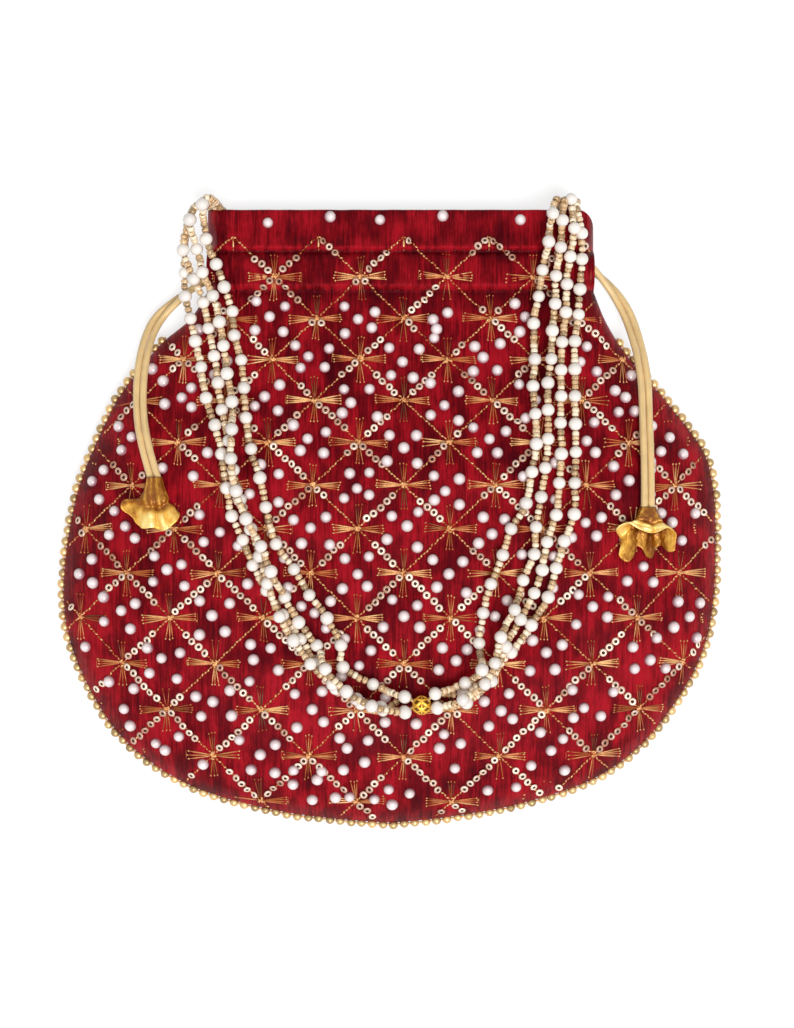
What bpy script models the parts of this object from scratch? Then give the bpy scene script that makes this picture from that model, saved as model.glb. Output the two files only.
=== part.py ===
"""Potli bag, lying on its back: a drawstring pouch of brocade with a handle of pearl strands.

The bag lies in the XY plane with its mouth towards +Y and its back on z = 0. Two cloth panels,
each with a drawcord channel at the neck, are sewn together round the belly, with a lining
panel inside each and a chain of gilt beads along the seam. Four pearl strands form the handle
and meet in a filigree bead. Two drawcords run round the channel and leave it at the sides.
"""
import math

import bmesh
import bpy
import numpy as np
from mathutils.geometry import delaunay_2d_cdt

MM = 0.001

# Overall sizes of the pouch.
BAG_WIDTH = 248.8 * MM          # seam to seam across the belly
BODY_HEIGHT = 202.5 * MM        # lower stitch line to the bottom of the seam
NECK_WIDTH = 147.0 * MM
NECK_SHIFT = 4.2 * MM           # the neck sits a little right of the belly's middle
CHANNEL_HEIGHT = 15.6 * MM      # between the two stitch lines
FRILL_HEIGHT = 16.3 * MM        # from the upper stitch line to the top edge
CORNER_RADIUS = 7.0 * MM        # top right corner of the frill
SEAM_Z = 7.8 * MM
BELLY_Z = 28.0 * MM             # top of the stuffed belly
BELLY_ROUNDING = 58.0 * MM      # how far in from the seam the front still rises
BACK_ROUNDING = 26.0 * MM       # how far in from the seam the back lifts off the floor
NECK_ROUNDING = 5.0 * MM
NECK_BLEND = 75.0 * MM          # length over which the neck opens into the belly

# Cloth and channel.
CLOTH = 0.9 * MM
LINING_CLOTH = 0.6 * MM
GAP = 0.3 * MM
LINING_GAP = 0.8 * MM
SEAM_ALLOWANCE = 3.0 * MM       # the lining's edge lies this far inside the seam
CHANNEL_BORE_HEIGHT = 3.8 * MM
CHANNEL_BORE_WIDTH = 11.2 * MM
HEM_ALLOWANCE = 4.0 * MM        # the hem ends this far below the lower stitch line
HEM_END = 9.0 * MM              # the hem stops this far from the side seams
HEM_STEP = 1.0 * MM
MOUTH_GAP = 4.9 * MM            # between the front and back casings
BORE_SIDES = 12
BORE_CUT = 190.0 * MM           # length of the cutter, past both sides of the neck
CORNER_STEP = 2.0 * MM          # first column of points in from each side of the neck
CHANNEL_ROWS = (0.0, 0.12, 0.5, 0.88, 1.0)  # shares of the channel's height with rows of points

# Lattice of couched gold thread, as ridges on the front.
LATTICE_ROWS = 13
LATTICE_TOP = 4.8 * MM          # first row of crossings above the lower stitch line
LATTICE_X = 5.4 * MM            # the column of crossings on the middle of the front
ROW_PITCH = 15.6 * MM
ROW_GROWTH = 0.079 * MM
HALF_PERIOD = 16.3 * MM
PERIOD_GROWTH = 0.15 * MM
RIDGE_HEIGHT = 0.5 * MM
RIDGE_HALF_WIDTH = 1.1 * MM
LATTICE_MARGIN = 4.0 * MM

# Depths in from the seam of the rings of points that shape the panels and their linings.
FRONT_RINGS = (SEAM_ALLOWANCE, 12 * MM, 30 * MM, BELLY_ROUNDING)
BACK_RINGS = (SEAM_ALLOWANCE, 10 * MM, BACK_ROUNDING)

# How the strands and cords lie over the bag.
ROUTE_STEPS = 8                 # samples of a route between two of its points
DRAPE_REACH = 6.0 * MM          # a bead is held up by what lies this near along its strand
DRAPE_SLOPE = 0.5               # fall of the line beside the bag, per distance from the seam
STEEP = 0.3                     # a path whose level part is shorter than this keeps its frame

# Bead edging.
EDGE_BEAD = 3.0 * MM
EDGE_PITCH = 4.1 * MM
EDGE_STRING = 0.9 * MM
EDGE_SIDES = 4
EDGE_START = 0.10               # share of the body's height where the edging starts

# Handle strands.
PEARL = 4.8 * MM
SEED = 2.3 * MM
STRAND_PITCH = 10.6 * MM
STRAND_SPACING = 5.15 * MM
STRAND_THREAD = 0.7 * MM
STRAND_CLEARANCE = 0.6 * MM
STRAND_TAIL = 34.0 * MM         # bare thread at each end, from the mouth over its edge
MOUTH_RUN = 13.0 * MM           # length of each strand inside the mouth
MOUTH_RISE = 9.0 * MM           # length over which it comes up over the edge
PAIRING_RUN = 15.0 * MM         # length over which the strands move side by side
STACKING_RUN = 17.0 * MM        # length over which the upper two come down beside the lower
TAIL_STOPS = (0.0, 0.35, 0.5, 0.65, 1.0)    # shares of a tail's length with a ring of points
LANES = (1.5, 0.5, -0.5, -1.5)  # each strand's place across the bundle, in spacings
PAIR_LANES = (0.5, -0.5, 0.5, -0.5)         # the same where they lie two over two
BORE_LANE = 1.5                 # spacing inside the bead's bore, in thread thicknesses
BORE_RUN = 3.0 * MM             # length over which the threads gather into the bore
STRAND_SIDES = 4
CENTRE_BEAD = 7.0 * MM
CENTRE_BEAD_BORE = 3.0 * MM
CENTRE_BEAD_LENGTH = 6.4 * MM
CENTRE_BEAD_SIDES = 8

# Drawcords and their tassel caps.
CORD = 3.0 * MM
CORD_LANE = 1.75 * MM           # each cord's lane beside the middle of the channel
CORD_PAIR = 3.4 * MM            # the two ends of a cord lie this far apart
TURN_CLEARANCE = 2.6 * MM       # from the far side seam to a cord's turn inside it
CORD_STEP = 9.0 * MM
CORD_ENTRY = 14.0 * MM          # how far in from the side a cord runs level in its channel
CORD_KNOTS = 4                  # every so many samples of a free end shape the cord
CORD_BEVEL = 2
CORD_CLEARANCE = 0.5 * MM
CAP_WIDTH = 20.5 * MM
CAP_LENGTH = 20.0 * MM
CAP_SIDES = 12
CAP_FLATNESS = 0.8              # height of the cap over its width
# The cap's outside and its hollow: share of its length, share of half its width.
CAP_OUTER = ((0.0, 0.36), (0.22, 0.38), (0.5, 0.62), (0.78, 0.86), (1.0, 1.0))
CAP_INNER = ((0.96, 0.90), (0.76, 0.74), (0.5, 0.29))
PETAL_START = 0.45              # share of the cap's length where the petals start
PETAL_SWELL = 0.2               # how much wider the petals are than the cap's middle
PETAL_NOTCH = 0.10              # how much shorter it is between the petals
LEFT_PETALS = 4
RIGHT_PETALS = 3

# Right and left edges of the belly: share of half the bag's width, share of the body's height.
RIGHT_EDGE = (
    (0.665, 0.060), (0.726, 0.119), (0.803, 0.174), (0.892, 0.241), (0.963, 0.302),
    (0.993, 0.374), (1.000, 0.468), (0.993, 0.581), (0.963, 0.672), (0.889, 0.762),
    (0.772, 0.853), (0.622, 0.919), (0.416, 0.962), (0.240, 0.984), (0.020, 1.000),
)
LEFT_EDGE = (
    (-0.612, 0.053), (-0.696, 0.096), (-0.772, 0.151), (-0.834, 0.204), (-0.895, 0.279),
    (-0.950, 0.364), (-0.984, 0.458), (-1.000, 0.562), (-0.981, 0.656), (-0.917, 0.751),
    (-0.834, 0.830), (-0.726, 0.889), (-0.582, 0.938), (-0.382, 0.973), (-0.198, 0.991),
)

# The middle of the bundle of strands, from the left side of the mouth round to the right one:
# x and y in mm, and the spread of the bundle as a share of its usual spacing.
HANDLE_ROUTE = (
    (-57.6, 106.0, 0.3), (-58.4, 114.2, 0.3), (-62.2, 120.8, 0.3), (-68.4, 121.6, 0.35),
    (-74.0, 116.6, 0.75), (-75.2, 107.6, 1.0), (-74.0, 98.6, 1.0), (-71.6, 90.0, 1.0),
    (-68.8, 81.5, 1.0), (-66.2, 71.5, 1.0), (-63.8, 60.6, 1.0), (-62.4, 48.7, 1.0),
    (-60.2, 37.4, 1.0), (-58.4, 25.3, 1.0), (-55.8, 14.0, 1.0), (-53.2, 2.7, 1.0),
    (-48.8, -10.4, 1.0), (-44.2, -19.8, 1.0), (-38.4, -29.2, 1.0), (-31.4, -38.6, 1.0),
    (-25.2, -48.3, 1.0), (-18.4, -56.9, 1.0), (-9.2, -64.0, 1.0), (-1.5, -67.8, 1.0),
    (5.7, -69.6, 1.0), (11.6, -69.9, 1.0), (17.5, -69.6, 1.0), (24.5, -66.8, 1.0),
    (31.0, -61.6, 1.05), (37.4, -54.5, 1.2), (42.6, -46.8, 1.25), (46.4, -38.4, 1.2),
    (49.8, -29.4, 1.1), (53.4, -19.0, 1.05), (56.0, -9.0, 1.0), (59.0, 0.8, 1.0),
    (60.8, 12.4, 1.0), (61.8, 24.5, 1.0), (62.0, 35.4, 1.0), (62.0, 45.6, 1.0),
    (62.2, 55.4, 1.0), (62.6, 66.0, 1.0), (63.4, 76.4, 1.0), (64.4, 87.0, 1.0),
    (65.0, 98.5, 1.0), (64.8, 106.6, 0.95), (64.0, 114.0, 0.6), (63.8, 120.8, 0.3),
    (67.2, 123.0, 0.22), (69.2, 116.4, 0.22), (69.0, 106.0, 0.3),
)
HANDLE_BEAD_AT = 25             # index of the route's point at the filigree bead

# The middle of each pair of cord ends, from the side of the channel to the tassel cap, in mm.
# A third number is a height; a point without one lies on the front of the bag.
LEFT_CORD_ROUTE = (
    (-86.0, 81.0, 4.6), (-90.6, 73.2, 8.6), (-92.8, 66.0, 12.6), (-94.2, 57.0),
    (-95.0, 47.0), (-94.4, 36.0), (-92.6, 26.5), (-89.4, 17.6),
)
RIGHT_CORD_ROUTE = (
    (84.6, 87.4, 8.0), (90.2, 79.4, 9.2), (93.6, 70.0, 12.0), (96.0, 59.6),
    (97.6, 48.6), (97.4, 37.0), (97.6, 24.0), (97.6, 12.0), (97.6, 3.4),
)
LEFT_CAP_AIM = (0.03, -1.0)
RIGHT_CAP_AIM = (-0.06, -1.0)

LOWER_STITCH_Y = 86.0 * MM
UPPER_STITCH_Y = LOWER_STITCH_Y + CHANNEL_HEIGHT
TOP_Y = UPPER_STITCH_Y + FRILL_HEIGHT
CHANNEL_Y = (LOWER_STITCH_Y + UPPER_STITCH_Y) / 2
CASING_DEPTH = CHANNEL_BORE_HEIGHT + 2 * CLOTH
BACK_CHANNEL_Z = CASING_DEPTH / 2
FRONT_CHANNEL_Z = BACK_CHANNEL_Z + CASING_DEPTH + MOUTH_GAP
PEARL_R = PEARL / 2
CORD_R = CORD / 2


def clear_scene():
    """Remove everything that stands in the scene."""
    for obj in list(bpy.data.objects):
        bpy.data.objects.remove(obj, do_unlink=True)


def collection(name):
    """A new collection, linked to the scene."""
    group = bpy.data.collections.new(name)
    bpy.context.scene.collection.children.link(group)
    return group


def material(name, colour, roughness, metallic=0.0):
    """A plain Principled material."""
    mat = bpy.data.materials.new(name)
    mat.use_nodes = True
    shader = mat.node_tree.nodes["Principled BSDF"]
    shader.inputs["Base Color"].default_value = (*colour, 1.0)
    shader.inputs["Roughness"].default_value = roughness
    shader.inputs["Metallic"].default_value = metallic
    mat.diffuse_color = (*colour, 1.0)
    return mat


def mesh_object(name, points, faces, mat, group, smooth=True):
    """A mesh object with its normals pointing out."""
    mesh = bpy.data.meshes.new(name)
    mesh.from_pydata([tuple(map(float, p)) for p in points], [], [list(map(int, f)) for f in faces])
    work = bmesh.new()
    work.from_mesh(mesh)
    bmesh.ops.delete(work, geom=[v for v in work.verts if not v.link_faces], context="VERTS")
    bmesh.ops.recalc_face_normals(work, faces=work.faces)
    work.to_mesh(mesh)
    work.free()
    mesh.materials.append(mat)
    if smooth:
        mesh.shade_smooth()
        mesh.set_sharp_from_angle(angle=math.radians(40))
    obj = bpy.data.objects.new(name, mesh)
    group.objects.link(obj)
    return obj


def smoothstep(t):
    """Rises from 0 to 1 with level ends."""
    t = np.clip(t, 0.0, 1.0)
    return t * t * (3 - 2 * t)


def spline(points, per_span):
    """A Catmull-Rom curve through the points, sampled per_span times in each span."""
    p = np.asarray(points, float)
    p = np.vstack([2 * p[0] - p[1], p, 2 * p[-1] - p[-2]])
    out = []
    for i in range(1, len(p) - 2):
        t = np.linspace(0, 1, per_span, endpoint=False)[:, None]
        a, b, c, d = p[i - 1], p[i], p[i + 1], p[i + 2]
        out.append(0.5 * (2 * b + (c - a) * t + (2 * a - 5 * b + 4 * c - d) * t ** 2
                          + (3 * b - a - 3 * c + d) * t ** 3))
    return np.vstack([*out, p[-2][None]])


def along(points):
    """The distance along a line of points, at each point."""
    steps = np.linalg.norm(np.diff(points, axis=0), axis=1)
    return np.concatenate([[0.0], np.cumsum(steps)])


def at_distances(points, distances):
    """The points that lie at the given distances along a line."""
    s = along(points)
    return np.stack([np.interp(distances, s, points[:, k]) for k in range(points.shape[1])], axis=1)


def edge_points(shares):
    """Points of the belly's edge from its shares of the width and height."""
    p = np.array(shares)
    return np.stack([p[:, 0] * BAG_WIDTH / 2, LOWER_STITCH_Y - p[:, 1] * BODY_HEIGHT], axis=1)


def seam_line(per_span=2):
    """The sewn edge from the top left corner down, round the belly and up to the top right."""
    left = NECK_SHIFT - NECK_WIDTH / 2
    right = NECK_SHIFT + NECK_WIDTH / 2
    start = np.array([[left, TOP_Y], [left, UPPER_STITCH_Y], [left, CHANNEL_Y]])
    belly = np.vstack([[[left, LOWER_STITCH_Y]], edge_points(LEFT_EDGE),
                       edge_points(RIGHT_EDGE)[::-1], [[right, LOWER_STITCH_Y]]])
    end = np.array([[right, CHANNEL_Y], [right, UPPER_STITCH_Y], [right, TOP_Y]])
    return np.vstack([start, spline(belly, per_span), end])


SEAM = seam_line(6)


def seam_distance(x, y):
    """How far points lie from the seam; the top edge isn't part of it."""
    p = np.stack([np.ravel(x), np.ravel(y)], axis=1)
    a, b = SEAM[:-1], SEAM[1:]
    run = b - a
    best = np.full(len(p), np.inf)
    for i in range(len(a)):
        t = np.clip(((p - a[i]) @ run[i]) / max(run[i] @ run[i], 1e-18), 0, 1)
        best = np.minimum(best, np.linalg.norm(p - a[i] - t[:, None] * run[i], axis=1))
    return best.reshape(np.shape(x))


def outside(x, y, outline=SEAM):
    """Whether points lie outside an outline, counted by crossings of a line towards +X."""
    x, y = np.asarray(x, float), np.asarray(y, float)
    ring = np.vstack([outline, outline[:1]])
    inside = np.zeros(x.shape, bool)
    for (x0, y0), (x1, y1) in zip(ring[:-1], ring[1:]):
        if y0 != y1:
            cross = (y0 > y) != (y1 > y)
            inside ^= cross & (x < (x1 - x0) * (y - y0) / (y1 - y0) + x0)
    return ~inside


def rise(t):
    """The rounded rise of a stuffed panel from its seam, 0 to 1."""
    t = np.clip(t, 0, 1)
    return (1 - (1 - t) ** 2) ** 0.75


def channel_bulge(y):
    """The channel's swelling across its height, 0 at the stitch lines and 1 in the middle."""
    c = np.clip((y - LOWER_STITCH_Y) / CHANNEL_HEIGHT, 0, 1)
    return np.sqrt(np.maximum(4 * c * (1 - c), 0))


def casing_thickness(x, y, distance):
    """Thickness of a panel: one cloth on the belly, two on the frill, the bore in the channel."""
    hem_low = LOWER_STITCH_Y - HEM_ALLOWANCE
    in_hem = np.clip((y - hem_low + HEM_STEP) / HEM_STEP, 0, 1)
    in_hem = in_hem * np.clip((distance - HEM_END + HEM_STEP) / HEM_STEP, 0, 1)
    return CLOTH + in_hem * (CLOTH + CHANNEL_BORE_HEIGHT * channel_bulge(y))


def front_height(x, y):
    """Height of the front panel's outer face."""
    d = seam_distance(x, y)
    down = smoothstep((LOWER_STITCH_Y - y) / NECK_BLEND)
    radius = NECK_ROUNDING + (BELLY_ROUNDING - NECK_ROUNDING) * down
    casing = FRONT_CHANNEL_Z + CLOTH + CHANNEL_BORE_HEIGHT / 2 * channel_bulge(y)
    crown = casing + (BELLY_Z - casing) * down
    base = SEAM_Z + GAP / 2 + CLOTH
    return base + (crown - base) * rise(d / radius)


def back_height(x, y):
    """Height of the back panel's outer face, flat on z = 0 away from the seam."""
    d = seam_distance(x, y)
    down = smoothstep((LOWER_STITCH_Y - y) / NECK_BLEND)
    radius = NECK_ROUNDING + (BACK_ROUNDING - NECK_ROUNDING) * down
    above = y > LOWER_STITCH_Y - HEM_ALLOWANCE
    hollow = np.where(above, CHANNEL_BORE_HEIGHT / 2 * (1 - channel_bulge(y)), 0.0)
    blend = smoothstep((LOWER_STITCH_Y - y) / HEM_ALLOWANCE)
    hollow = np.where(y < LOWER_STITCH_Y, CHANNEL_BORE_HEIGHT / 2 * (1 - blend), hollow)
    base = SEAM_Z - GAP / 2 - CLOTH
    return hollow + (base - hollow) * (1 - rise(d / radius))


def inset(line, distance):
    """The line moved to its left-hand side by a distance, which is inwards for the seam."""
    run = np.gradient(line, axis=0)
    run = run / np.maximum(np.linalg.norm(run, axis=1), 1e-12)[:, None]
    normal = np.stack([-run[:, 1], run[:, 0]], axis=1)
    return line + normal * distance


def lattice_rows():
    """The rows of crossings: each row's height and the x of its crossings."""
    rows = []
    for k in range(LATTICE_ROWS):
        y = LOWER_STITCH_Y + LATTICE_TOP - ROW_PITCH * k - ROW_GROWTH * k * k
        half = HALF_PERIOD + PERIOD_GROWTH * k
        first = 0 if k % 2 == 1 else 1
        count = int(BAG_WIDTH / half)
        xs = [LATTICE_X + half * (2 * i + first) for i in range(-count, count)]
        rows.append((y, xs))
    return rows


def inside_by(x, y, margin):
    """Whether a point lies inside the seam by a margin."""
    px, py = np.array([x]), np.array([y])
    clear = seam_distance(px, py)[0] > margin
    return clear and y < LOWER_STITCH_Y - HEM_ALLOWANCE and not outside(px, py)[0]


def lattice_pattern():
    """Crossings and the flat diamonds between the ridges, as points, edges and ridge marks."""
    rows = lattice_rows()
    points, edges, marks, index = [], [], [], {}

    def add(x, y, mark):
        key = (round(x * 1e7), round(y * 1e7))
        if key not in index:
            index[key] = len(points)
            points.append((x, y))
            marks.append(mark)
        return index[key]

    for k in range(LATTICE_ROWS - 1):
        (y0, upper), (y1, lower) = rows[k], rows[k + 1]
        for xa in upper:
            for xb in lower:
                near = abs(abs(xa - xb) - HALF_PERIOD - PERIOD_GROWTH * (k + 0.5)) < HALF_PERIOD / 2
                if near and inside_by(xa, y0, LATTICE_MARGIN) and inside_by(xb, y1, LATTICE_MARGIN):
                    edges.append((add(xa, y0, True), add(xb, y1, True)))
    for k in range(1, LATTICE_ROWS - 1):
        add_diamonds(rows, k, add, edges)
    return points, edges, marks


def add_diamonds(rows, k, add, edges):
    """The flats of the diamonds whose side corners lie on row k."""
    y_mid, xs = rows[k]
    y_top, y_low = rows[k - 1][0], rows[k + 1][0]
    for xa, xb in zip(xs[:-1], xs[1:]):
        xc = (xa + xb) / 2
        wide, tall_up, tall_down = (xb - xa) / 2, y_top - y_mid, y_mid - y_low
        shrink = 1 - RIDGE_HALF_WIDTH * math.hypot(wide, tall_up) / (wide * tall_up)
        corners = [(xc - wide * shrink, y_mid), (xc, y_mid + tall_up * shrink),
                   (xc + wide * shrink, y_mid), (xc, y_mid - tall_down * shrink)]
        if all(inside_by(x, y, LATTICE_MARGIN) for x, y in corners):
            ids = [add(x, y, False) for x, y in corners]
            edges.extend(zip(ids, ids[1:] + ids[:1]))


def triangulate(outline, rings, rows=(), points=(), edges=()):
    """Triangles of the area inside an outline, with rings, rows and pattern points kept in it."""
    verts = [tuple(p) for p in outline]
    bounds = list(range(len(verts)))
    held = list(zip(bounds, bounds[1:] + bounds[:1]))
    for row in rows:
        held += [(len(verts) + i, len(verts) + i + 1) for i in range(len(row) - 1)]
        verts += row
    ring_points = np.array([p for ring in rings for p in ring])
    kept = ring_points[~outside(ring_points[:, 0], ring_points[:, 1], outline)]
    verts += [tuple(p) for p in kept]
    start = len(verts)
    verts += list(points)
    held += [(a + start, b + start) for a, b in edges]
    flat, _, tris, origins, _, _ = delaunay_2d_cdt(verts, held, [], 0, 1e-7, True)
    flat = np.array([tuple(v) for v in flat])
    tris = np.array(tris)
    middle = flat[tris].mean(axis=1)
    tris = tris[~outside(middle[:, 0], middle[:, 1], outline)]
    index = {o: i for i, came in enumerate(origins) for o in came}
    rim = [index[i] for i in bounds]
    return flat, tris, rim, [index[start + i] for i in range(len(points))]


def two_faced(upper, lower):
    """Join an upper and a lower triangulated face that share one outline into a closed sheet."""
    points_up, tris_up, rim_up = upper
    points_low, tris_low, rim_low = lower
    n = len(points_up)
    faces = [*tris_up.tolist(), *(tris_low[:, ::-1] + n).tolist()]
    for i in range(len(rim_up)):
        j = (i + 1) % len(rim_up)
        a, b = rim_up[i], rim_up[j]
        faces.append([b, a, rim_low[i] + n, rim_low[j] + n])
    return np.vstack([points_up, points_low]), faces


def panel_rings(depths):
    """Rings of points at several distances in from the seam, all at the same stations."""
    return [inset(seam_line(1), d) for d in depths]


def casing_rows():
    """Rows of points across the casing, where its section changes."""
    left = NECK_SHIFT - NECK_WIDTH / 2
    right = NECK_SHIFT + NECK_WIDTH / 2
    hem = [LOWER_STITCH_Y - HEM_ALLOWANCE, LOWER_STITCH_Y - HEM_ALLOWANCE - HEM_STEP]
    channel = [LOWER_STITCH_Y + CHANNEL_HEIGHT * c for c in CHANNEL_ROWS]
    steps = (CORNER_STEP, NECK_ROUNDING, HEM_END - HEM_STEP, HEM_END)
    xs = [left + d for d in steps] + [right - d for d in reversed(steps)]
    return [[(x, y) for x in xs] for y in (*hem, *channel)]


def panel_outline():
    """The outline of a panel: the seam, closed by the top edge with its rounded right corner."""
    seam = seam_line(1)
    left, right = seam[0][0], seam[-1][0]
    turn = np.radians([0, 30, 60, 90])
    corner = np.stack([right - CORNER_RADIUS + CORNER_RADIUS * np.cos(turn),
                       TOP_Y - CORNER_RADIUS + CORNER_RADIUS * np.sin(turn)], axis=1)
    top = [(NECK_SHIFT, TOP_Y), (left + NECK_ROUNDING, TOP_Y), (left + NECK_ROUNDING / 3, TOP_Y)]
    return np.vstack([seam[:-1], corner, top])


def front_panel(mat, group, cutter):
    """The front cloth with its hem, channel and couched lattice."""
    outline = panel_outline()
    rings, rows = panel_rings(FRONT_RINGS), casing_rows()
    points, edges, marks = lattice_pattern()
    flat, tris, rim, index = triangulate(outline, rings[:2], rows, points, edges)
    x, y = flat[:, 0], flat[:, 1]
    z = front_height(x, y)
    z[[i for i, mark in zip(index, marks) if mark]] += RIDGE_HEIGHT
    upper = np.column_stack([x, y, z]), tris, rim
    flat, tris, rim, _ = triangulate(outline, rings, rows)
    x, y = flat[:, 0], flat[:, 1]
    z = front_height(x, y) - casing_thickness(x, y, seam_distance(x, y))
    lower = np.column_stack([x, y, z]), tris, rim
    points, faces = two_faced(upper, lower)
    panel = mesh_object("front_panel", points, faces, mat, group)
    cut_channel(panel, FRONT_CHANNEL_Z, cutter)


def back_panel(mat, group, cutter):
    """The back cloth with its hem and channel, flat where the bag rests."""
    outline = panel_outline()
    flat, tris, rim, _ = triangulate(outline, panel_rings(BACK_RINGS), casing_rows())
    x, y = flat[:, 0], flat[:, 1]
    low = back_height(x, y)
    high = low + casing_thickness(x, y, seam_distance(x, y))
    upper = np.column_stack([x, y, high]), tris, rim
    lower = np.column_stack([x, y, low]), tris, rim
    points, faces = two_faced(upper, lower)
    panel = mesh_object("back_panel", points, faces, mat, group)
    cut_channel(panel, BACK_CHANNEL_Z, cutter)


def cut_channel(panel, z, group):
    """Cut the drawcord channel through a panel, side to side."""
    bpy.ops.mesh.primitive_cylinder_add(vertices=BORE_SIDES, radius=0.5, depth=BORE_CUT)
    bore = bpy.context.object
    bore.name = f"{panel.name}_channel"
    bore.scale = (CHANNEL_BORE_HEIGHT, CHANNEL_BORE_WIDTH, 1)
    bpy.ops.object.transform_apply(location=False, rotation=False, scale=True)
    bore.rotation_euler = (0, math.radians(90), 0)
    bore.location = (NECK_SHIFT, CHANNEL_Y, z)
    for owner in list(bore.users_collection):
        owner.objects.unlink(bore)
    group.objects.link(bore)
    bore.hide_render = True
    bore.display_type = "WIRE"
    cut = panel.modifiers.new("channel", "BOOLEAN")
    cut.operation = "DIFFERENCE"
    cut.solver = "EXACT"
    cut.object = bore


def lining(name, front, mat, group):
    """A lining panel that backs its cloth panel from the hem to the seam allowance."""
    top = LOWER_STITCH_Y - HEM_ALLOWANCE - 2 * HEM_STEP
    seam = inset(seam_line(1), SEAM_ALLOWANCE)
    keep = seam[seam[:, 1] < top]
    left, right = keep[0][0], keep[-1][0]
    left, right = left + 2 * SEAM_ALLOWANCE, right - 2 * SEAM_ALLOWANCE
    first, last = [[left, top]], [[right, top]]
    across = [(x, top) for x in np.linspace(right, left, 6)[1:-1]]
    outline = np.vstack([first, keep, last, across])
    depths = FRONT_RINGS[2:] if front else BACK_RINGS[2:]
    rings = [ring[ring[:, 1] < top - HEM_STEP] for ring in panel_rings(depths)]
    flat, tris, rim, _ = triangulate(outline, rings)
    x, y = flat[:, 0], flat[:, 1]
    if front:
        high = front_height(x, y) - CLOTH - LINING_GAP
        low = high - LINING_CLOTH
    else:
        low = back_height(x, y) + CLOTH + LINING_GAP
        high = low + LINING_CLOTH
    upper = np.column_stack([x, y, high]), tris, rim
    lower = np.column_stack([x, y, low]), tris, rim
    points, faces = two_faced(upper, lower)
    mesh_object(name, points, faces, mat, group)


def frames(path):
    """Sideways and upward unit vectors for each point of a path."""
    run = np.gradient(path, axis=0)
    run = run / np.maximum(np.linalg.norm(run, axis=1), 1e-12)[:, None]
    up = np.zeros_like(run)
    up[:, 2] = 1.0
    side = np.cross(run, up)
    size = np.linalg.norm(side, axis=1)
    for i in range(len(side)):
        if size[i] < STEEP and i > 0:
            side[i] = side[i - 1] - run[i] * (side[i - 1] @ run[i])
        elif i > 0 and side[i] @ side[i - 1] < 0:
            side[i] = -side[i]
        side[i] /= max(np.linalg.norm(side[i]), 1e-12)
    return side, np.cross(side, run)


def turned_along(name, path, radii, sides, mat, group):
    """A round profile carried along a path: a ring of the given radius at each point."""
    side, up = frames(path)
    turn = 2 * math.pi * (np.arange(sides) + 0.5) / sides
    ring = (np.cos(turn)[None, :, None] * side[:, None, :]
            + np.sin(turn)[None, :, None] * up[:, None, :])
    points = path[:, None, :] + np.asarray(radii)[:, None, None] * ring
    faces = []
    for i in range(len(path) - 1):
        for j in range(sides):
            k = (j + 1) % sides
            faces.append([i * sides + j, i * sides + k, (i + 1) * sides + k, (i + 1) * sides + j])
    faces.append(list(range(sides)))
    faces.append([(len(path) - 1) * sides + j for j in range(sides)])
    return mesh_object(name, points.reshape(-1, 3), faces, mat, group)


def bead_edging(mat, group):
    """The chain of gilt beads along the outside of the seam."""
    line = seam_line(6)
    first = np.argmax(line[:, 1] < LOWER_STITCH_Y - EDGE_START * BODY_HEIGHT)
    last = len(line) - np.argmax(line[::-1, 1] < LOWER_STITCH_Y - EDGE_START * BODY_HEIGHT)
    out = inset(line[first:last], -(EDGE_BEAD / 2 + GAP))
    length = along(out)[-1]
    beads = int(length / EDGE_PITCH)
    centres = (np.arange(beads) + 0.5) * length / beads
    joints = np.arange(beads + 1) * length / beads
    stops = np.sort(np.concatenate([centres, joints]))
    radii = np.where(np.arange(len(stops)) % 2 == 1, EDGE_BEAD / 2, EDGE_STRING / 2)
    flat = at_distances(out, stops)
    path = np.column_stack([flat, np.full(len(flat), SEAM_Z)])
    turned_along("bead_edging", path, radii, EDGE_SIDES, mat, group)


def draped_height(flat, radius, clearance):
    """Height of something round lying over the front: it rests on it and spans what falls away."""
    x, y = flat[:, 0], flat[:, 1]
    d = seam_distance(x, y)
    off = outside(x, y)
    beside = FRONT_CHANNEL_Z + CASING_DEPTH / 2 - DRAPE_SLOPE * d
    over = np.maximum(front_height(x, y), np.where(d < NECK_ROUNDING, beside, 0))
    raw = np.where(off, beside, over)
    step = np.median(np.linalg.norm(np.diff(flat, axis=0), axis=1))
    reach = max(1, int(round(DRAPE_REACH / step)))
    padded = np.pad(raw, reach, mode="edge")
    high = np.array([padded[i:i + 2 * reach + 1].max() for i in range(len(raw))])
    padded = np.pad(high, reach, mode="edge")
    soft = np.array([padded[i:i + 2 * reach + 1].mean() for i in range(len(raw))])
    return soft + radius + clearance + RIDGE_HEIGHT


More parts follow.
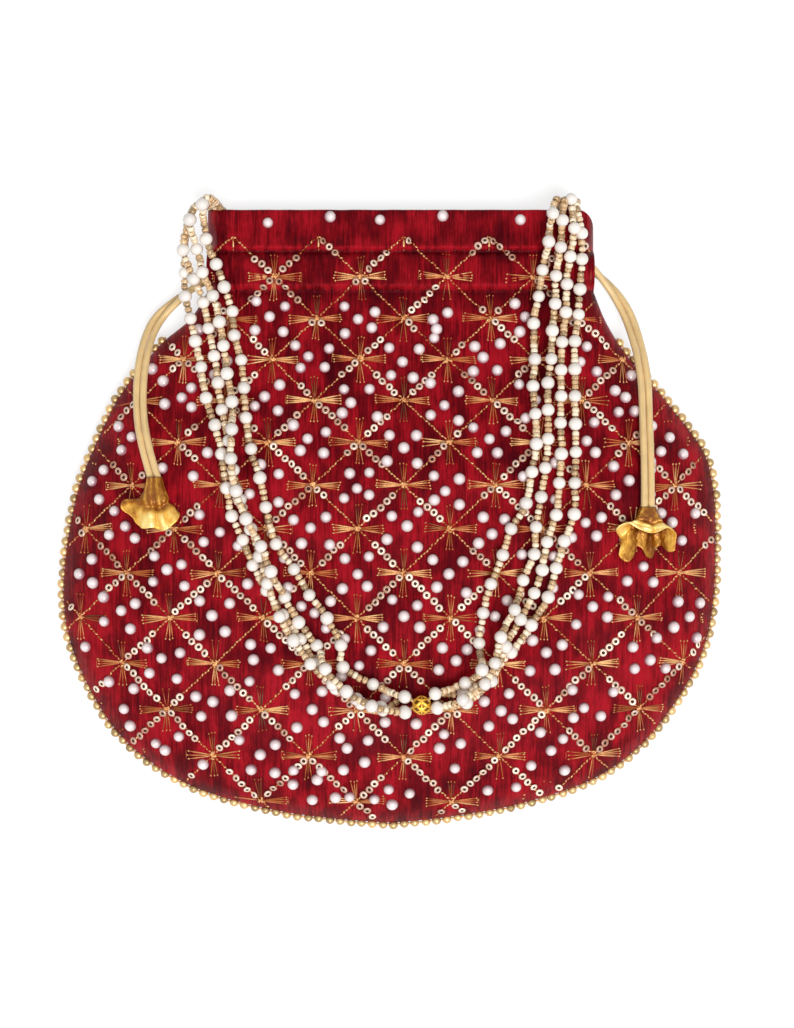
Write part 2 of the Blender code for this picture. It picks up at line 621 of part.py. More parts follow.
def strand_path(number):
    """The middle line of one strand: the bundle's route, offset, with its ends in the mouth.

    The four strands lie side by side, and two over two at the filigree bead and at the mouth.
    """
    dense = spline(np.array(HANDLE_ROUTE), ROUTE_STEPS)
    centre, spread = dense[:, :2] * MM, dense[:, 2]
    run = np.gradient(centre, axis=0)
    run = run / np.linalg.norm(run, axis=1)[:, None]
    normal = np.stack([-run[:, 1], run[:, 0]], axis=1)
    s = along(centre)
    from_bead = np.abs(s - s[HANDLE_BEAD_AT * ROUTE_STEPS])
    from_end = np.minimum(s, s[-1] - s)
    paired = smoothstep(1 - (from_bead - CENTRE_BEAD) / PAIRING_RUN)
    in_bore = smoothstep(1 - (from_bead - CENTRE_BEAD_LENGTH / 2) / BORE_RUN)
    lane = LANES[number] * STRAND_SPACING * spread
    row = PAIR_LANES[number]
    tier = 1 if number < 2 else -1
    lane = lane * (1 - paired) + row * STRAND_SPACING * paired
    lane = lane * (1 - in_bore) + row * BORE_LANE * STRAND_THREAD * in_bore
    flat = centre + normal * lane[:, None]
    stacked = np.maximum(smoothstep(1 - (from_bead - CENTRE_BEAD - PAIRING_RUN) / STACKING_RUN),
                         smoothstep(1 - (from_end - STRAND_TAIL - PAIRING_RUN / 2) / STACKING_RUN))
    z = draped_height(flat, PEARL_R, STRAND_CLEARANCE) + (tier + 1) / 2 * STRAND_SPACING * stacked
    bore_z = draped_height(centre, PEARL_R, STRAND_CLEARANCE) + STRAND_SPACING / 2
    z = z * (1 - in_bore) + (bore_z + tier * BORE_LANE / 2 * STRAND_THREAD) * in_bore
    mouth_z = (FRONT_CHANNEL_Z + BACK_CHANNEL_Z) / 2 + tier * STRAND_THREAD
    out = smoothstep((from_end - MOUTH_RUN) / MOUTH_RISE)
    return np.column_stack([flat, z * out + mouth_z * (1 - out)])


def strand_profile(path):
    """Distances and radii along a strand: pearls with a neck of seed beads between them."""
    length = along(path)[-1]
    bead = along(path)[HANDLE_BEAD_AT * ROUTE_STEPS]
    first = bead + CENTRE_BEAD_LENGTH / 2 + GAP + PEARL_R
    centres = []
    for sign, limit in ((1, length - STRAND_TAIL), (-1, STRAND_TAIL)):
        at = bead + sign * (first - bead)
        while sign * (limit - at) > PEARL_R:
            centres.append(at)
            at += sign * STRAND_PITCH
    centres = np.sort(np.array(centres))
    bare = STRAND_TAIL - PEARL
    tail = [bare * share for share in TAIL_STOPS]
    stops, radii = list(tail), [STRAND_THREAD / 2] * len(tail)
    for at in centres:
        beside_bead = abs(abs(at - bead) - (first - bead)) < GAP
        neck = [SEED / 2, SEED / 2]
        if beside_bead and at < bead:
            neck[1] = STRAND_THREAD / 2
        if beside_bead and at > bead:
            neck[0] = STRAND_THREAD / 2
        stops += [at - PEARL_R, at, at + PEARL_R]
        radii += [neck[0], PEARL_R, neck[1]]
    stops += [length - at for at in reversed(tail)]
    radii += [STRAND_THREAD / 2] * len(tail)
    return np.array(stops), np.array(radii)


def handle_strand(number, mat, group):
    """One strand of the handle, its beads fused to their thread."""
    path = strand_path(number)
    stops, radii = strand_profile(path)
    name = f"handle_strand_{number + 1}"
    turned_along(name, at_distances(path, stops), radii, STRAND_SIDES, mat, group)


def centre_bead(mat, group):
    """The filigree bead that gathers the strands, with its bore along the handle."""
    centre = spline(np.array(HANDLE_ROUTE), ROUTE_STEPS)[:, :2] * MM
    height = draped_height(centre, PEARL_R, STRAND_CLEARANCE)
    at = HANDLE_BEAD_AT * ROUTE_STEPS
    place = (*centre[at], height[at] + STRAND_SPACING / 2)
    half = CENTRE_BEAD_LENGTH / 2
    slope = math.asin(min(1.0, half / (CENTRE_BEAD / 2)))
    turn = np.linspace(-slope, slope, 5)
    profile = [(CENTRE_BEAD / 2 * math.sin(a), max(CENTRE_BEAD / 2 * math.cos(a),
                CENTRE_BEAD_BORE / 2 + GAP)) for a in turn]
    profile += [(profile[-1][0], CENTRE_BEAD_BORE / 2), (profile[0][0], CENTRE_BEAD_BORE / 2)]
    sides = CENTRE_BEAD_SIDES
    points, faces = [], []
    for x, r in profile:
        for j in range(sides):
            a = 2 * math.pi * j / sides
            points.append((x, r * math.cos(a), r * math.sin(a)))
    for i in range(len(profile)):
        k = (i + 1) % len(profile)
        for j in range(sides):
            m = (j + 1) % sides
            faces.append([i * sides + j, i * sides + m, k * sides + m, k * sides + j])
    points = np.array(points) + np.array(place)
    mesh_object("centre_bead", points, faces, mat, group)


def cord_end(route, side):
    """One free end of a drawcord: the pair's route moved half a pair aside."""
    flat = spline([p[:2] for p in route], ROUTE_STEPS) * MM
    run = np.gradient(flat, axis=0)
    run = run / np.linalg.norm(run, axis=1)[:, None]
    flat = flat + np.stack([-run[:, 1], run[:, 0]], axis=1) * side * CORD_PAIR / 2
    rest = draped_height(flat, CORD_R, CORD_CLEARANCE)
    heights = [p[2] * MM for p in route if len(p) == 3]
    lands = len(heights) * ROUTE_STEPS
    knots = np.arange(len(heights) + 1) * ROUTE_STEPS
    steps = np.arange(len(flat))
    free = np.interp(steps, knots, [*heights, rest[lands]])
    return np.column_stack([flat, np.where(steps < lands, free, rest)])


def drawcord_path(mirror, route):
    """A whole drawcord: tassel, front channel, round the far side, back channel, tassel."""
    left = NECK_SHIFT - NECK_WIDTH / 2
    right = NECK_SHIFT + NECK_WIDTH / 2
    near, far = (left, right) if mirror < 0 else (right, left)
    lane = CHANNEL_Y + CORD_LANE * mirror
    turn_r = (FRONT_CHANNEL_Z - BACK_CHANNEL_Z) / 2
    turn_x = far + mirror * (turn_r + CORD_R + TURN_CLEARANCE)
    middle_z = (FRONT_CHANNEL_Z + BACK_CHANNEL_Z) / 2
    swing = np.radians(np.linspace(90, -90, 7))
    around = [(turn_x - mirror * turn_r * math.cos(a), lane, middle_z + turn_r * math.sin(a))
              for a in swing]
    inside, beyond = near - mirror * CORD_ENTRY, near + mirror * CORD
    front = [(beyond, lane, FRONT_CHANNEL_Z), (inside, lane, FRONT_CHANNEL_Z)]
    back = [(inside, lane, BACK_CHANNEL_Z), (beyond, lane, BACK_CHANNEL_Z)]
    inner, outer = (1, -1) if mirror < 0 else (-1, 1)
    first = cord_end(route, inner)[::-1][::CORD_KNOTS]
    last = cord_end(route, outer)[::CORD_KNOTS]
    knots = np.vstack([first, front, around, back, last])
    dense = spline(knots, 6)
    count = int(along(dense)[-1] / CORD_STEP)
    return at_distances(dense, np.linspace(0, along(dense)[-1], count))


def tube(name, path, diameter, mat, group):
    """A plain cord: a straight-run curve with a round section and closed ends."""
    curve = bpy.data.curves.new(name, "CURVE")
    curve.dimensions = "3D"
    curve.bevel_depth = diameter / 2
    curve.bevel_resolution = CORD_BEVEL
    curve.use_fill_caps = True
    line = curve.splines.new("POLY")
    line.points.add(len(path) - 1)
    for point, co in zip(line.points, path):
        point.co = (*map(float, co), 1.0)
    curve.materials.append(mat)
    obj = bpy.data.objects.new(name, curve)
    group.objects.link(obj)
    return obj


def tassel_cap(name, route, aim, petals, mat, group):
    """A flower-shaped cap of gold cloth: a collar that opens into petals round a hollow."""
    end = np.array(route[-1][:2]) * MM
    aim = np.array(aim) / np.linalg.norm(aim)
    across = np.array([-aim[1], aim[0]])
    start = end + aim * (GAP + RIDGE_HEIGHT / 5)
    half = CAP_WIDTH / 2
    sides = CAP_SIDES
    points, faces = [], []
    turn = 2 * math.pi * np.arange(sides) / sides
    floor = draped_height(np.vstack([start, start + aim * CAP_LENGTH]), 0.0, GAP)
    middle = floor[0] + CAP_OUTER[0][1] * half
    for share, width in CAP_OUTER + CAP_INNER:
        flare = max(0.0, (share - PETAL_START) / (1 - PETAL_START))
        radius = width * half * (1 + PETAL_SWELL * flare * np.cos(petals * turn))
        reach = share * CAP_LENGTH * (1 + PETAL_NOTCH * flare * (np.cos(petals * turn) - 1))
        place = start[None] + aim[None] * reach[:, None]
        place = place + across[None] * (radius * np.cos(turn))[:, None]
        height = middle + (floor[1] - floor[0]) * share + radius * np.sin(turn) * CAP_FLATNESS
        height = np.maximum(height, front_height(place[:, 0], place[:, 1]) + RIDGE_HEIGHT + GAP)
        points.append(np.column_stack([place, height]))
    rings = len(points)
    for i in range(rings - 1):
        for j in range(sides):
            k = (j + 1) % sides
            faces.append([i * sides + j, i * sides + k, (i + 1) * sides + k, (i + 1) * sides + j])
    faces.append(list(range(sides)))
    faces.append([(rings - 1) * sides + j for j in range(sides)])
    mesh_object(name, np.vstack(points), faces, mat, group)


def main():
    clear_scene()
    parts = collection("potli_bag")
    cutters = collection("cutters")
    brocade = material("brocade", (0.26, 0.008, 0.02), 0.45)
    satin = material("lining_satin", (0.22, 0.01, 0.02), 0.55)
    gilt = material("gilt_beads", (0.52, 0.40, 0.16), 0.3, 1.0)
    pearl = material("pearl_strands", (0.93, 0.86, 0.74), 0.2)
    filigree = material("filigree_gold", (0.78, 0.48, 0.08), 0.25, 1.0)
    cord = material("satin_cord", (0.74, 0.54, 0.27), 0.5)
    tissue = material("gold_tissue", (0.62, 0.30, 0.02), 0.3, 0.6)
    front_panel(brocade, parts, cutters)
    back_panel(brocade, parts, cutters)
    lining("front_lining", True, satin, parts)
    lining("back_lining", False, satin, parts)
    bead_edging(gilt, parts)
    for number in range(4):
        handle_strand(number, pearl, parts)
    centre_bead(filigree, parts)
    tube("drawcord_left", drawcord_path(-1, LEFT_CORD_ROUTE), CORD, cord, parts)
    tube("drawcord_right", drawcord_path(1, RIGHT_CORD_ROUTE), CORD, cord, parts)
    tassel_cap("tassel_left", LEFT_CORD_ROUTE, LEFT_CAP_AIM, LEFT_PETALS, tissue, parts)
    tassel_cap("tassel_right", RIGHT_CORD_ROUTE, RIGHT_CAP_AIM, RIGHT_PETALS, tissue, parts)


main()
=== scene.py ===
"""Potli bag, dressed: silk panels, embroidery, bead strands, satin cords and tissue flowers.

The bag lies in the XY plane with its mouth towards +Y and its back on z = 0. Every piece is worked
out as arrays from the same outline, heights and routes as the solids that it stands for.
"""
import math

import bpy
import numpy as np
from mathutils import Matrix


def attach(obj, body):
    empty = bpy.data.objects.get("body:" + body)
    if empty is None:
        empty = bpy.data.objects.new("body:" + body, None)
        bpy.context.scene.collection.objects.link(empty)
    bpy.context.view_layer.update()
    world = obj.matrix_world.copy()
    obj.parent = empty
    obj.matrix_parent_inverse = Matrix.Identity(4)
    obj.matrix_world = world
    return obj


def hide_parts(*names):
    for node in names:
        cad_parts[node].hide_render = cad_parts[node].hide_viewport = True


bl_info = {
    "name": "Potli Bag",
    "version": (1, 0, 0),
    "blender": (4, 5, 0),
    "location": "3D View > Sidebar > Potli Bag",
    "description": "Builds a beaded silk drawstring bag, piece by piece",
    "category": "Add Mesh",
}

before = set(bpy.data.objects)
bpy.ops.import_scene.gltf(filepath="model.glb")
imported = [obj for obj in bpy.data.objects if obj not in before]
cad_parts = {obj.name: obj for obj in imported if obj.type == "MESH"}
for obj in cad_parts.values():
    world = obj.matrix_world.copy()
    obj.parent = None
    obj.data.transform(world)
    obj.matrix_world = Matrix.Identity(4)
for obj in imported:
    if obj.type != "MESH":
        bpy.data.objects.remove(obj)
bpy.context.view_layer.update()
MM = 0.001

# Outline and heights, as in the solids.
BAG_WIDTH = 248.8 * MM
BODY_HEIGHT = 202.5 * MM
NECK_WIDTH = 147.0 * MM
NECK_SHIFT = 4.2 * MM
CHANNEL_HEIGHT = 14.8 * MM
FRILL_HEIGHT = 15.8 * MM
CORNER_RADIUS = 7.0 * MM
SEAM_Z = 7.8 * MM
BELLY_Z = 28.0 * MM
BELLY_ROUNDING = 58.0 * MM
BACK_ROUNDING = 26.0 * MM
NECK_ROUNDING = 5.0 * MM
NECK_BLEND = 75.0 * MM
CLOTH = 0.9 * MM
LINING_CLOTH = 0.6 * MM
GAP = 0.3 * MM
LINING_GAP = 0.8 * MM
SEAM_ALLOWANCE = 3.0 * MM
CHANNEL_BORE = 3.8 * MM
HEM_ALLOWANCE = 4.0 * MM
MOUTH_GAP = 4.9 * MM
LATTICE_TOP = 4.8 * MM
LATTICE_X = 5.4 * MM
ROW_PITCH = 15.6 * MM
ROW_GROWTH = 0.079 * MM
HALF_PERIOD = 16.3 * MM
PERIOD_GROWTH = 0.15 * MM
RIDGE_HEIGHT = 0.5 * MM
EDGE_BEAD = 3.0 * MM
EDGE_PITCH = 4.1 * MM
EDGE_START = 0.085
STRAND_THREAD = 0.7 * MM
STRAND_CLEARANCE = 0.6 * MM
MOUTH_RUN = 11.6 * MM
MOUTH_RISE = 6.0 * MM
CENTRE_BEAD = 7.0 * MM
CENTRE_BEAD_LENGTH = 6.4 * MM
CORD = 3.0 * MM
CORD_LANE = 1.75 * MM
CORD_PAIR = 2.65 * MM
SATIN = 2.6 * MM
CORD_ENTRY = 14.0 * MM
TURN_CLEARANCE = 2.6 * MM
CORD_CLEARANCE = 0.5 * MM
DRAPE_REACH = 6.0 * MM
DRAPE_SLOPE = 0.5
ROUTE_STEPS = 8
RIM_STEPS = 12
LOWEST = 0.02 * MM
MAP_STEP = 0.6 * MM
MAP_X = (-0.132, 0.132)
MAP_Y = (-0.124, 0.120)
LOWER_PLUMP = 1.3 * MM
UPPER_PLUMP = 2.0 * MM
PLUMP_REACH = 5.0 * MM
HEM_INSET = 7.5 * MM
EDGE_OVERLAP = 1.1 * MM
EDGE_THREAD = 0.8 * MM
STRAND_SAMPLES = 1100
STRAND_LIFT = 2.3 * MM
PEARL_ROUND = 2.5 * MM
SEED_ROUND = 1.3 * MM
GATHER_REACH = 3.5 * MM
THREAD_END = 1 * MM
THREAD_TONE = 0.5
EDGE_THREAD_TONE = 0.92
CORD_STEP = 1.1 * MM
CORD_RIBS = 8
FLOWER_ROWS = 44
TISSUE = 0.4 * MM

RIGHT_EDGE = (
    (0.665, 0.060), (0.726, 0.119), (0.803, 0.174), (0.892, 0.241), (0.963, 0.302),
    (0.993, 0.374), (1.000, 0.468), (0.993, 0.581), (0.963, 0.672), (0.889, 0.762),
    (0.772, 0.853), (0.622, 0.919), (0.416, 0.962), (0.240, 0.984), (0.020, 1.000),
)
LEFT_EDGE = (
    (-0.612, 0.053), (-0.696, 0.096), (-0.772, 0.151), (-0.834, 0.204), (-0.895, 0.279),
    (-0.950, 0.364), (-0.984, 0.458), (-1.000, 0.562), (-0.981, 0.656), (-0.917, 0.751),
    (-0.834, 0.830), (-0.726, 0.889), (-0.582, 0.938), (-0.382, 0.973), (-0.198, 0.991),
)
# Centres of the handle's pearls, strand by strand, from the left of the mouth to the right, in mm.
HANDLE_PEARLS = (
    ((-69.9, 116.8), (-69.1, 104.7), (-65.3, 95.3), (-62.3, 86.7), (-59.2, 77.5), (-58.4, 68.3),
     (-55.6, 58.9), (-54.4, 48.3), (-53.5, 37), (-51.5, 25.4), (-48.2, 14.6), (-46, 3.7),
     (-42.2, -10), (-35.5, -19.4), (-29.8, -29), (-23.2, -37.6), (-18, -47.7), (-17.3, -55.9),
     (-6.1, -62.2), (5.6, -66.5), (17, -65.4), (28.2, -61.5), (34.1, -56.2), (33.4, -46.9),
     (34.9, -35.7), (37.8, -24.9), (42.2, -14.1), (45.3, -4.4), (50.9, 5.2), (53, 16.8),
     (54.6, 27.2), (54.4, 38.5), (53.7, 49), (54.6, 59.2), (54.3, 72.9), (56.3, 83.2),
     (57.7, 93.1), (59.7, 103.2), (61.2, 113.8)),
    ((-74.8, 111.5), (-72.7, 101), (-70.2, 91.9), (-66.4, 83.2), (-63.9, 73.3), (-62.2, 64.2),
     (-60.6, 53.6), (-58.6, 43), (-58.3, 32.5), (-58.6, 21.6), (-56.8, 9.7), (-53, -0.7),
     (-47.4, -10.8), (-43.7, -20.1), (-38.9, -29.8), (-33.7, -39.1), (-27, -47.7),
     (-23.6, -56.2), (-15.8, -64.4), (-6.5, -69.7), (5.8, -72.3), (17.8, -70.8), (27.1, -67.4),
     (35.3, -61.5), (39, -54), (41.2, -44.3), (46.4, -34.3), (49.8, -23.5), (53.9, -13.8),
     (54.6, -3.7), (56.5, 7.5), (58, 18.3), (59.1, 29.1), (59.2, 40), (59.3, 50.2),
     (60.6, 59.2), (61.1, 69.9), (62.3, 80.2), (62.7, 90.8), (64.3, 101.3), (65, 111.5)),
    ((-77.8, 100.6), (-73.6, 89.7), (-70.2, 80.9), (-68.1, 71), (-65.8, 60.4), (-64.1, 50.2),
     (-62.5, 40), (-59.7, 28.3), (-57.9, 17.5), (-55.6, 6.4), (-51.5, -4.4), (-48.2, -14.5),
     (-45.2, -24.6), (-40.7, -36.9), (-35.5, -45.8), (-29.2, -54.4), (-21, -61.8),
     (-12.1, -67.4), (-3.1, -70.4), (5.5, -72.3), (17.8, -70.8), (28.6, -68.8), (37.9, -60.7),
     (43.1, -48), (48.7, -38), (53.9, -28.3), (56.9, -19.7), (58.7, -9.3), (62.1, 0.8),
     (63.2, 12.7), (64, 23.5), (63.8, 35.1), (64.2, 45.2), (64.3, 55.1), (64.8, 65.7),
     (66.4, 77.1), (66.9, 87.8), (68, 98), (69.5, 108.5), (68.4, 119.8)),
    ((-77.4, 92.3), (-77, 83.2), (-75, 74.8), (-73, 66.1), (-70.6, 56.2), (-68.5, 44.5),
     (-65, 34.3), (-62.4, 23.5), (-60.5, 10.8), (-58.6, 0.4), (-54.5, -8.5), (-50.8, -17.9),
     (-45.6, -27.2), (-39.6, -36.5), (-32.9, -45.4), (-27.3, -54.7), (-19.9, -63.7),
     (-10.6, -69.3), (-2.4, -71.9), (5.8, -67), (17, -65.6), (27.4, -65.6), (36.4, -59.6),
     (45.3, -50.3), (52.8, -40.2), (59.1, -29.8), (62.1, -19), (65.1, -8.9), (68.8, 1.1),
     (69, 12.7), (69.4, 24.2), (69.4, 34.7), (69.4, 45.2), (69.5, 55.4), (69.7, 66.1),
     (71.3, 76.3), (71.8, 85.9), (72.5, 97.2), (72.5, 107)),
)
# The thread's way over the mouth's edge, before the first pearl and after the last one, in mm.
LEFT_TAILS = (
    ((-57.5, 105.4), (-60.0, 112.0), (-64.8, 118.0), (-68.4, 119.4)),
    ((-60.5, 105.4), (-62.5, 112.0), (-66.2, 118.0), (-71.0, 117.8)),
    ((-63.5, 105.4), (-65.0, 112.0), (-67.6, 118.2), (-73.4, 116.4), (-76.2, 108.6)),
    ((-66.5, 105.4), (-67.4, 112.0), (-69.0, 118.4), (-74.6, 115.2), (-77.4, 104.0)),
)
RIGHT_TAILS = (
    ((62.2, 118.2), (63.4, 119.8), (64.6, 117.8), (62.8, 111.4), (60.5, 105.4)),
    ((65.4, 117.2), (66.4, 119.6), (67.4, 117.8), (65.6, 111.4), (63.5, 105.4)),
    ((69.6, 120.6), (69.8, 117.6), (68.6, 111.4), (66.5, 105.4)),
    ((71.6, 112.6), (70.6, 118.4), (71.4, 119.6), (71.2, 117.4), (70.8, 111.4), (69.5, 105.4)),
)
FILIGREE_PLACE = (12.0, -69.9)
# The middle between each cord's two ends, from the neck to the flower, in mm. The first places
# have a height of their own, and from there the cord lies on the cloth.
LEFT_CORD_ROUTE = (
    (-86.0, 81.0, 4.6), (-90.2, 73.2, 8.6), (-92.4, 66.0, 12.6), (-93.7, 57.0),
    (-94.2, 47.0), (-93.6, 36.0), (-91.4, 26.0), (-87.8, 14.2),
)
RIGHT_CORD_ROUTE = (
    (84.6, 87.4, 8.0), (90.0, 79.4, 9.2), (93.0, 70.0, 12.0), (95.2, 59.6),
    (96.6, 48.6), (96.4, 37.0), (96.7, 24.0), (96.7, 12.0), (96.7, 3.0),
)
# The flowers' rims, each point across, along and above the collar, in mm.
LEFT_RIM = (
    (8.9, 13.1, 1.5), (8.2, 16.0, 4.2), (3.9, 19.2, 4.0), (-1.0, 18.2, 4.2), (-4.8, 18.2, 3.4),
    (-8.4, 14.6, 3.0), (-12.6, 9.5, 4.0), (-10.2, 7.3, 2.6), (-5.5, 10.9, -2.5),
    (0.0, 14.0, -4.0), (5.7, 12.0, -2.5),
)
RIGHT_RIM = (
    (11.0, 11.5, 3.0), (10.6, 8.4, 4.4), (7.0, 6.6, 5.8), (3.8, 8.4, 4.4), (0.8, 8.8, 5.2),
    (-3.6, 7.6, 5.8), (-8.0, 5.6, 5.6), (-11.6, 8.2, 4.2), (-10.6, 11.2, 1.6), (-9.8, 14.8, 3.0),
    (-9.4, 18.8, 3.6), (-7.2, 20.2, 3.4), (-4.9, 18.2, 2.6), (-3.6, 14.4, 0.2), (-1.2, 14.8, -0.8),
    (0.6, 17.8, 1.0), (2.6, 18.0, 1.2), (4.0, 14.4, -1.5), (6.6, 13.4, -1.5), (8.4, 15.4, 2.2),
    (10.8, 14.6, 3.6),
)
LEFT_CAP_AIM = (0.03, -1.0)
RIGHT_CAP_AIM = (-0.06, -1.0)

LOWER_STITCH_Y = 86.0 * MM
UPPER_STITCH_Y = LOWER_STITCH_Y + CHANNEL_HEIGHT
TOP_Y = UPPER_STITCH_Y + FRILL_HEIGHT
CHANNEL_Y = (LOWER_STITCH_Y + UPPER_STITCH_Y) / 2
CASING_DEPTH = CHANNEL_BORE + 2 * CLOTH
BACK_CHANNEL_Z = CASING_DEPTH / 2
FRONT_CHANNEL_Z = BACK_CHANNEL_Z + CASING_DEPTH + MOUTH_GAP
CHANNEL_MIDDLE_Z = (FRONT_CHANNEL_Z + BACK_CHANNEL_Z) / 2
NECK_LEFT, NECK_RIGHT = NECK_SHIFT - NECK_WIDTH / 2, NECK_SHIFT + NECK_WIDTH / 2
FILIGREE_Z = BELLY_Z + RIDGE_HEIGHT + CENTRE_BEAD / 2 + STRAND_CLEARANCE

# Grid of the front and the back cloth: columns, rows in the belly, rows in the casing.
FRONT_GRID = (180, 116, 56)
BACK_GRID = (108, 72, 38)
# A star's fans: angle, reach in mm, threads, half spread in mm, width at the tip in mm, tone.
STAR_FANS = (
    (0, 10.1, 4, 1.5, 0.72, 0.54), (180, 10.1, 4, 1.5, 0.72, 0.54),
    (90, 8.6, 3, 1.2, 0.5, 0.14), (270, 8.6, 3, 1.35, 0.5, 0.34),
)
KNOT_STITCHES = 9
# Where half pearls sit in a diamond when no place was measured, in mm from its centre.
FIVE_OF_DICE = ((-5.2, 5.0), (5.0, 5.2), (0.2, 0.3), (-5.4, -4.8), (4.8, -5.6))

# The photograph's frame: an 85 mm lens straight above, with 0.38 mm to a pixel at z = 12 mm.
LENS = 85.0
SENSOR = 36.0
PHOTO_ROWS = 1028
MM_PER_PIXEL = 0.38
FRAME_HEIGHT = PHOTO_ROWS * MM_PER_PIXEL * MM
CAMERA_Z = 12.0 * MM + FRAME_HEIGHT * LENS / SENSOR
CAMERA_X = 2.85 * MM
CAMERA_Y = 1.14 * MM
KEY_TILT, KEY_ROLL, KEY_ANGLE = 24, 10, 36
FLOOR_BASE = 0.45
FLOOR_GLOW = 0.7


def srgb(red, green, blue):
    """A colour of 0 to 255 as linear light."""
    c = np.array([red, green, blue]) / 255
    return tuple(np.where(c <= 0.04045, c / 12.92, ((c + 0.055) / 1.055) ** 2.4).tolist())


def colour(name, description, *value):
    """A colour property with its default."""
    return bpy.props.FloatVectorProperty(name=name, description=description, subtype="COLOR",
                                         size=3, min=0, max=1, default=srgb(*value))


def length(name, description, value):
    """A length property with its default in metres."""
    return bpy.props.FloatProperty(name=name, description=description, unit="LENGTH",
                                   default=value, min=0.0, soft_max=0.1, precision=5)


class PotliCloth(bpy.types.PropertyGroup):
    silk_dark: colour("Silk shade", "Darkest slub of the silk", 58, 1, 8)
    silk_mid: colour("Silk", "Main crimson of the silk", 101, 6, 14)
    silk_bright: colour("Silk light", "Brightest slub of the silk", 157, 18, 30)
    lining: colour("Lining", "Colour of the lining cloth", 110, 14, 26)
    puff: length("Puff", "Rise of the cloth between the couched lines", 0.55 * MM)
    pucker: length("Pucker", "Depth of the gathers at the stitch lines", 0.6 * MM)
    back_lift: length("Back lift", "Height of the back cloth over its own half pearls", 1.2 * MM)


class PotliEmbroidery(bpy.types.PropertyGroup):
    half_pearl: length("Half pearl", "Diameter of the sewn half pearls", 4.45 * MM)
    sequin: length("Sequin", "Outer diameter of the ring sequins", 3.0 * MM)
    sequin_hole: length("Sequin hole", "Diameter of a sequin's hole", 1.25 * MM)
    sequin_pitch: length("Sequin pitch", "Distance between sequins in a run", 3.2 * MM)
    stitch_pitch: length("Stitch pitch", "Distance between chain stitches", 1.35 * MM)
    pearl_white: colour("Half pearls", "Colour of the sewn half pearls", 243, 222, 222)
    thread_dark: colour("Thread shade", "Darkest gold thread", 104, 44, 16)
    thread_mid: colour("Thread", "Copper of the gold thread", 190, 96, 40)
    thread_light: colour("Thread light", "Brightest gold thread", 240, 188, 126)
    sequin_dark: colour("Sequin shade", "Darkest sequins", 168, 104, 74)
    sequin_light: colour("Sequin light", "Brightest sequins", 252, 230, 208)


class PotliBeads(bpy.types.PropertyGroup):
    pearl: length("Pearl", "Diameter of the handle's pearls", 5.0 * MM)
    seed: length("Seed bead", "Diameter of the seed beads", 2.8 * MM)
    seed_length: length("Seed length", "Length of a seed bead along its thread", 1.85 * MM)
    edge_bead: length("Edging bead", "Diameter of the ball beads along the seam", 3.5 * MM)
    ivory: colour("Ivory", "Colour of the handle's pearls", 250, 242, 234)
    champagne: colour("Champagne", "Colour of the seed beads", 226, 184, 132)
    antique: colour("Antique gold", "Colour of the edging beads", 206, 174, 122)
    filigree: colour("Filigree gold", "Colour of the centre bead", 236, 172, 60)


class PotliCords(bpy.types.PropertyGroup):
    satin: colour("Satin", "Colour of the drawcords", 230, 196, 136)
    tissue_dark: colour("Tissue shade", "Folds of the gold tissue", 150, 86, 12)
    tissue_light: colour("Tissue light", "Lit faces of the gold tissue", 232, 172, 64)


class PotliStage(bpy.types.PropertyGroup):
    sun: bpy.props.FloatProperty(name="Key light", description="Strength of the soft key light",
                                 default=2.45, min=0.0, soft_max=5.0)
    sky: bpy.props.FloatProperty(name="Fill light", description="Strength of the light all round",
                                 default=0.42, min=0.0, soft_max=2.0)
    floor_size: length("Floor", "Width of the pale floor", 4.0)


# Curves and outlines.

def smoothstep(t):
    """Rises from 0 to 1 with level ends: 3 t squared less 2 t cubed."""
    t = np.clip(t, 0.0, 1.0)
    return t * t * (3 - 2 * t)


def spline(points, per_span):
    """A Catmull-Rom curve through the points, sampled per_span times in each span."""
    p = np.asarray(points, float)
    p = np.vstack([2 * p[0] - p[1], p, 2 * p[-1] - p[-2]])
    t = np.linspace(0, 1, per_span, endpoint=False)[None, :, None]
    a, b, c, d = (p[i:len(p) - 3 + i, None] for i in range(4))
    out = 0.5 * (2 * b + (c - a) * t + (2 * a - 5 * b + 4 * c - d) * t ** 2
                 + (3 * b - a - 3 * c + d) * t ** 3)
    return np.vstack([out.reshape(-1, p.shape[1]), p[-2][None]])


def along(points):
    """The distance along a line of points, at each point."""
    return np.concatenate([[0.0], np.cumsum(np.linalg.norm(np.diff(points, axis=0), axis=1))])


def at_distances(points, distances):
    """The points that lie at the given distances along a line."""
    return read_along(along(points), points, distances)


def read_along(s, values, distances):
    """Rows of values that are known at the distances s, read at other distances."""
    return np.stack([np.interp(distances, s, column) for column in values.T], axis=1)


def left_of(v):
    """Flat vectors turned a quarter to the left."""
    return np.stack([-v[..., 1], v[..., 0]], axis=-1)


def edge_points(shares):
    """Points of the belly's edge from its shares of the width and height."""
    p = np.array(shares)
    return np.stack([p[:, 0] * BAG_WIDTH / 2, LOWER_STITCH_Y - p[:, 1] * BODY_HEIGHT], axis=1)


def seam_line(per_span):
    """The sewn edge from the top left corner down, round the belly and up to the top right."""
    belly = np.vstack([[[NECK_LEFT, LOWER_STITCH_Y]], edge_points(LEFT_EDGE),
                       edge_points(RIGHT_EDGE)[::-1], [[NECK_RIGHT, LOWER_STITCH_Y]]])
    start = [[NECK_LEFT, TOP_Y], [NECK_LEFT, UPPER_STITCH_Y], [NECK_LEFT, CHANNEL_Y]]
    end = [[NECK_RIGHT, CHANNEL_Y], [NECK_RIGHT, UPPER_STITCH_Y], [NECK_RIGHT, TOP_Y]]
    return np.vstack([start, spline(belly, per_span), end])


SEAM = seam_line(6)


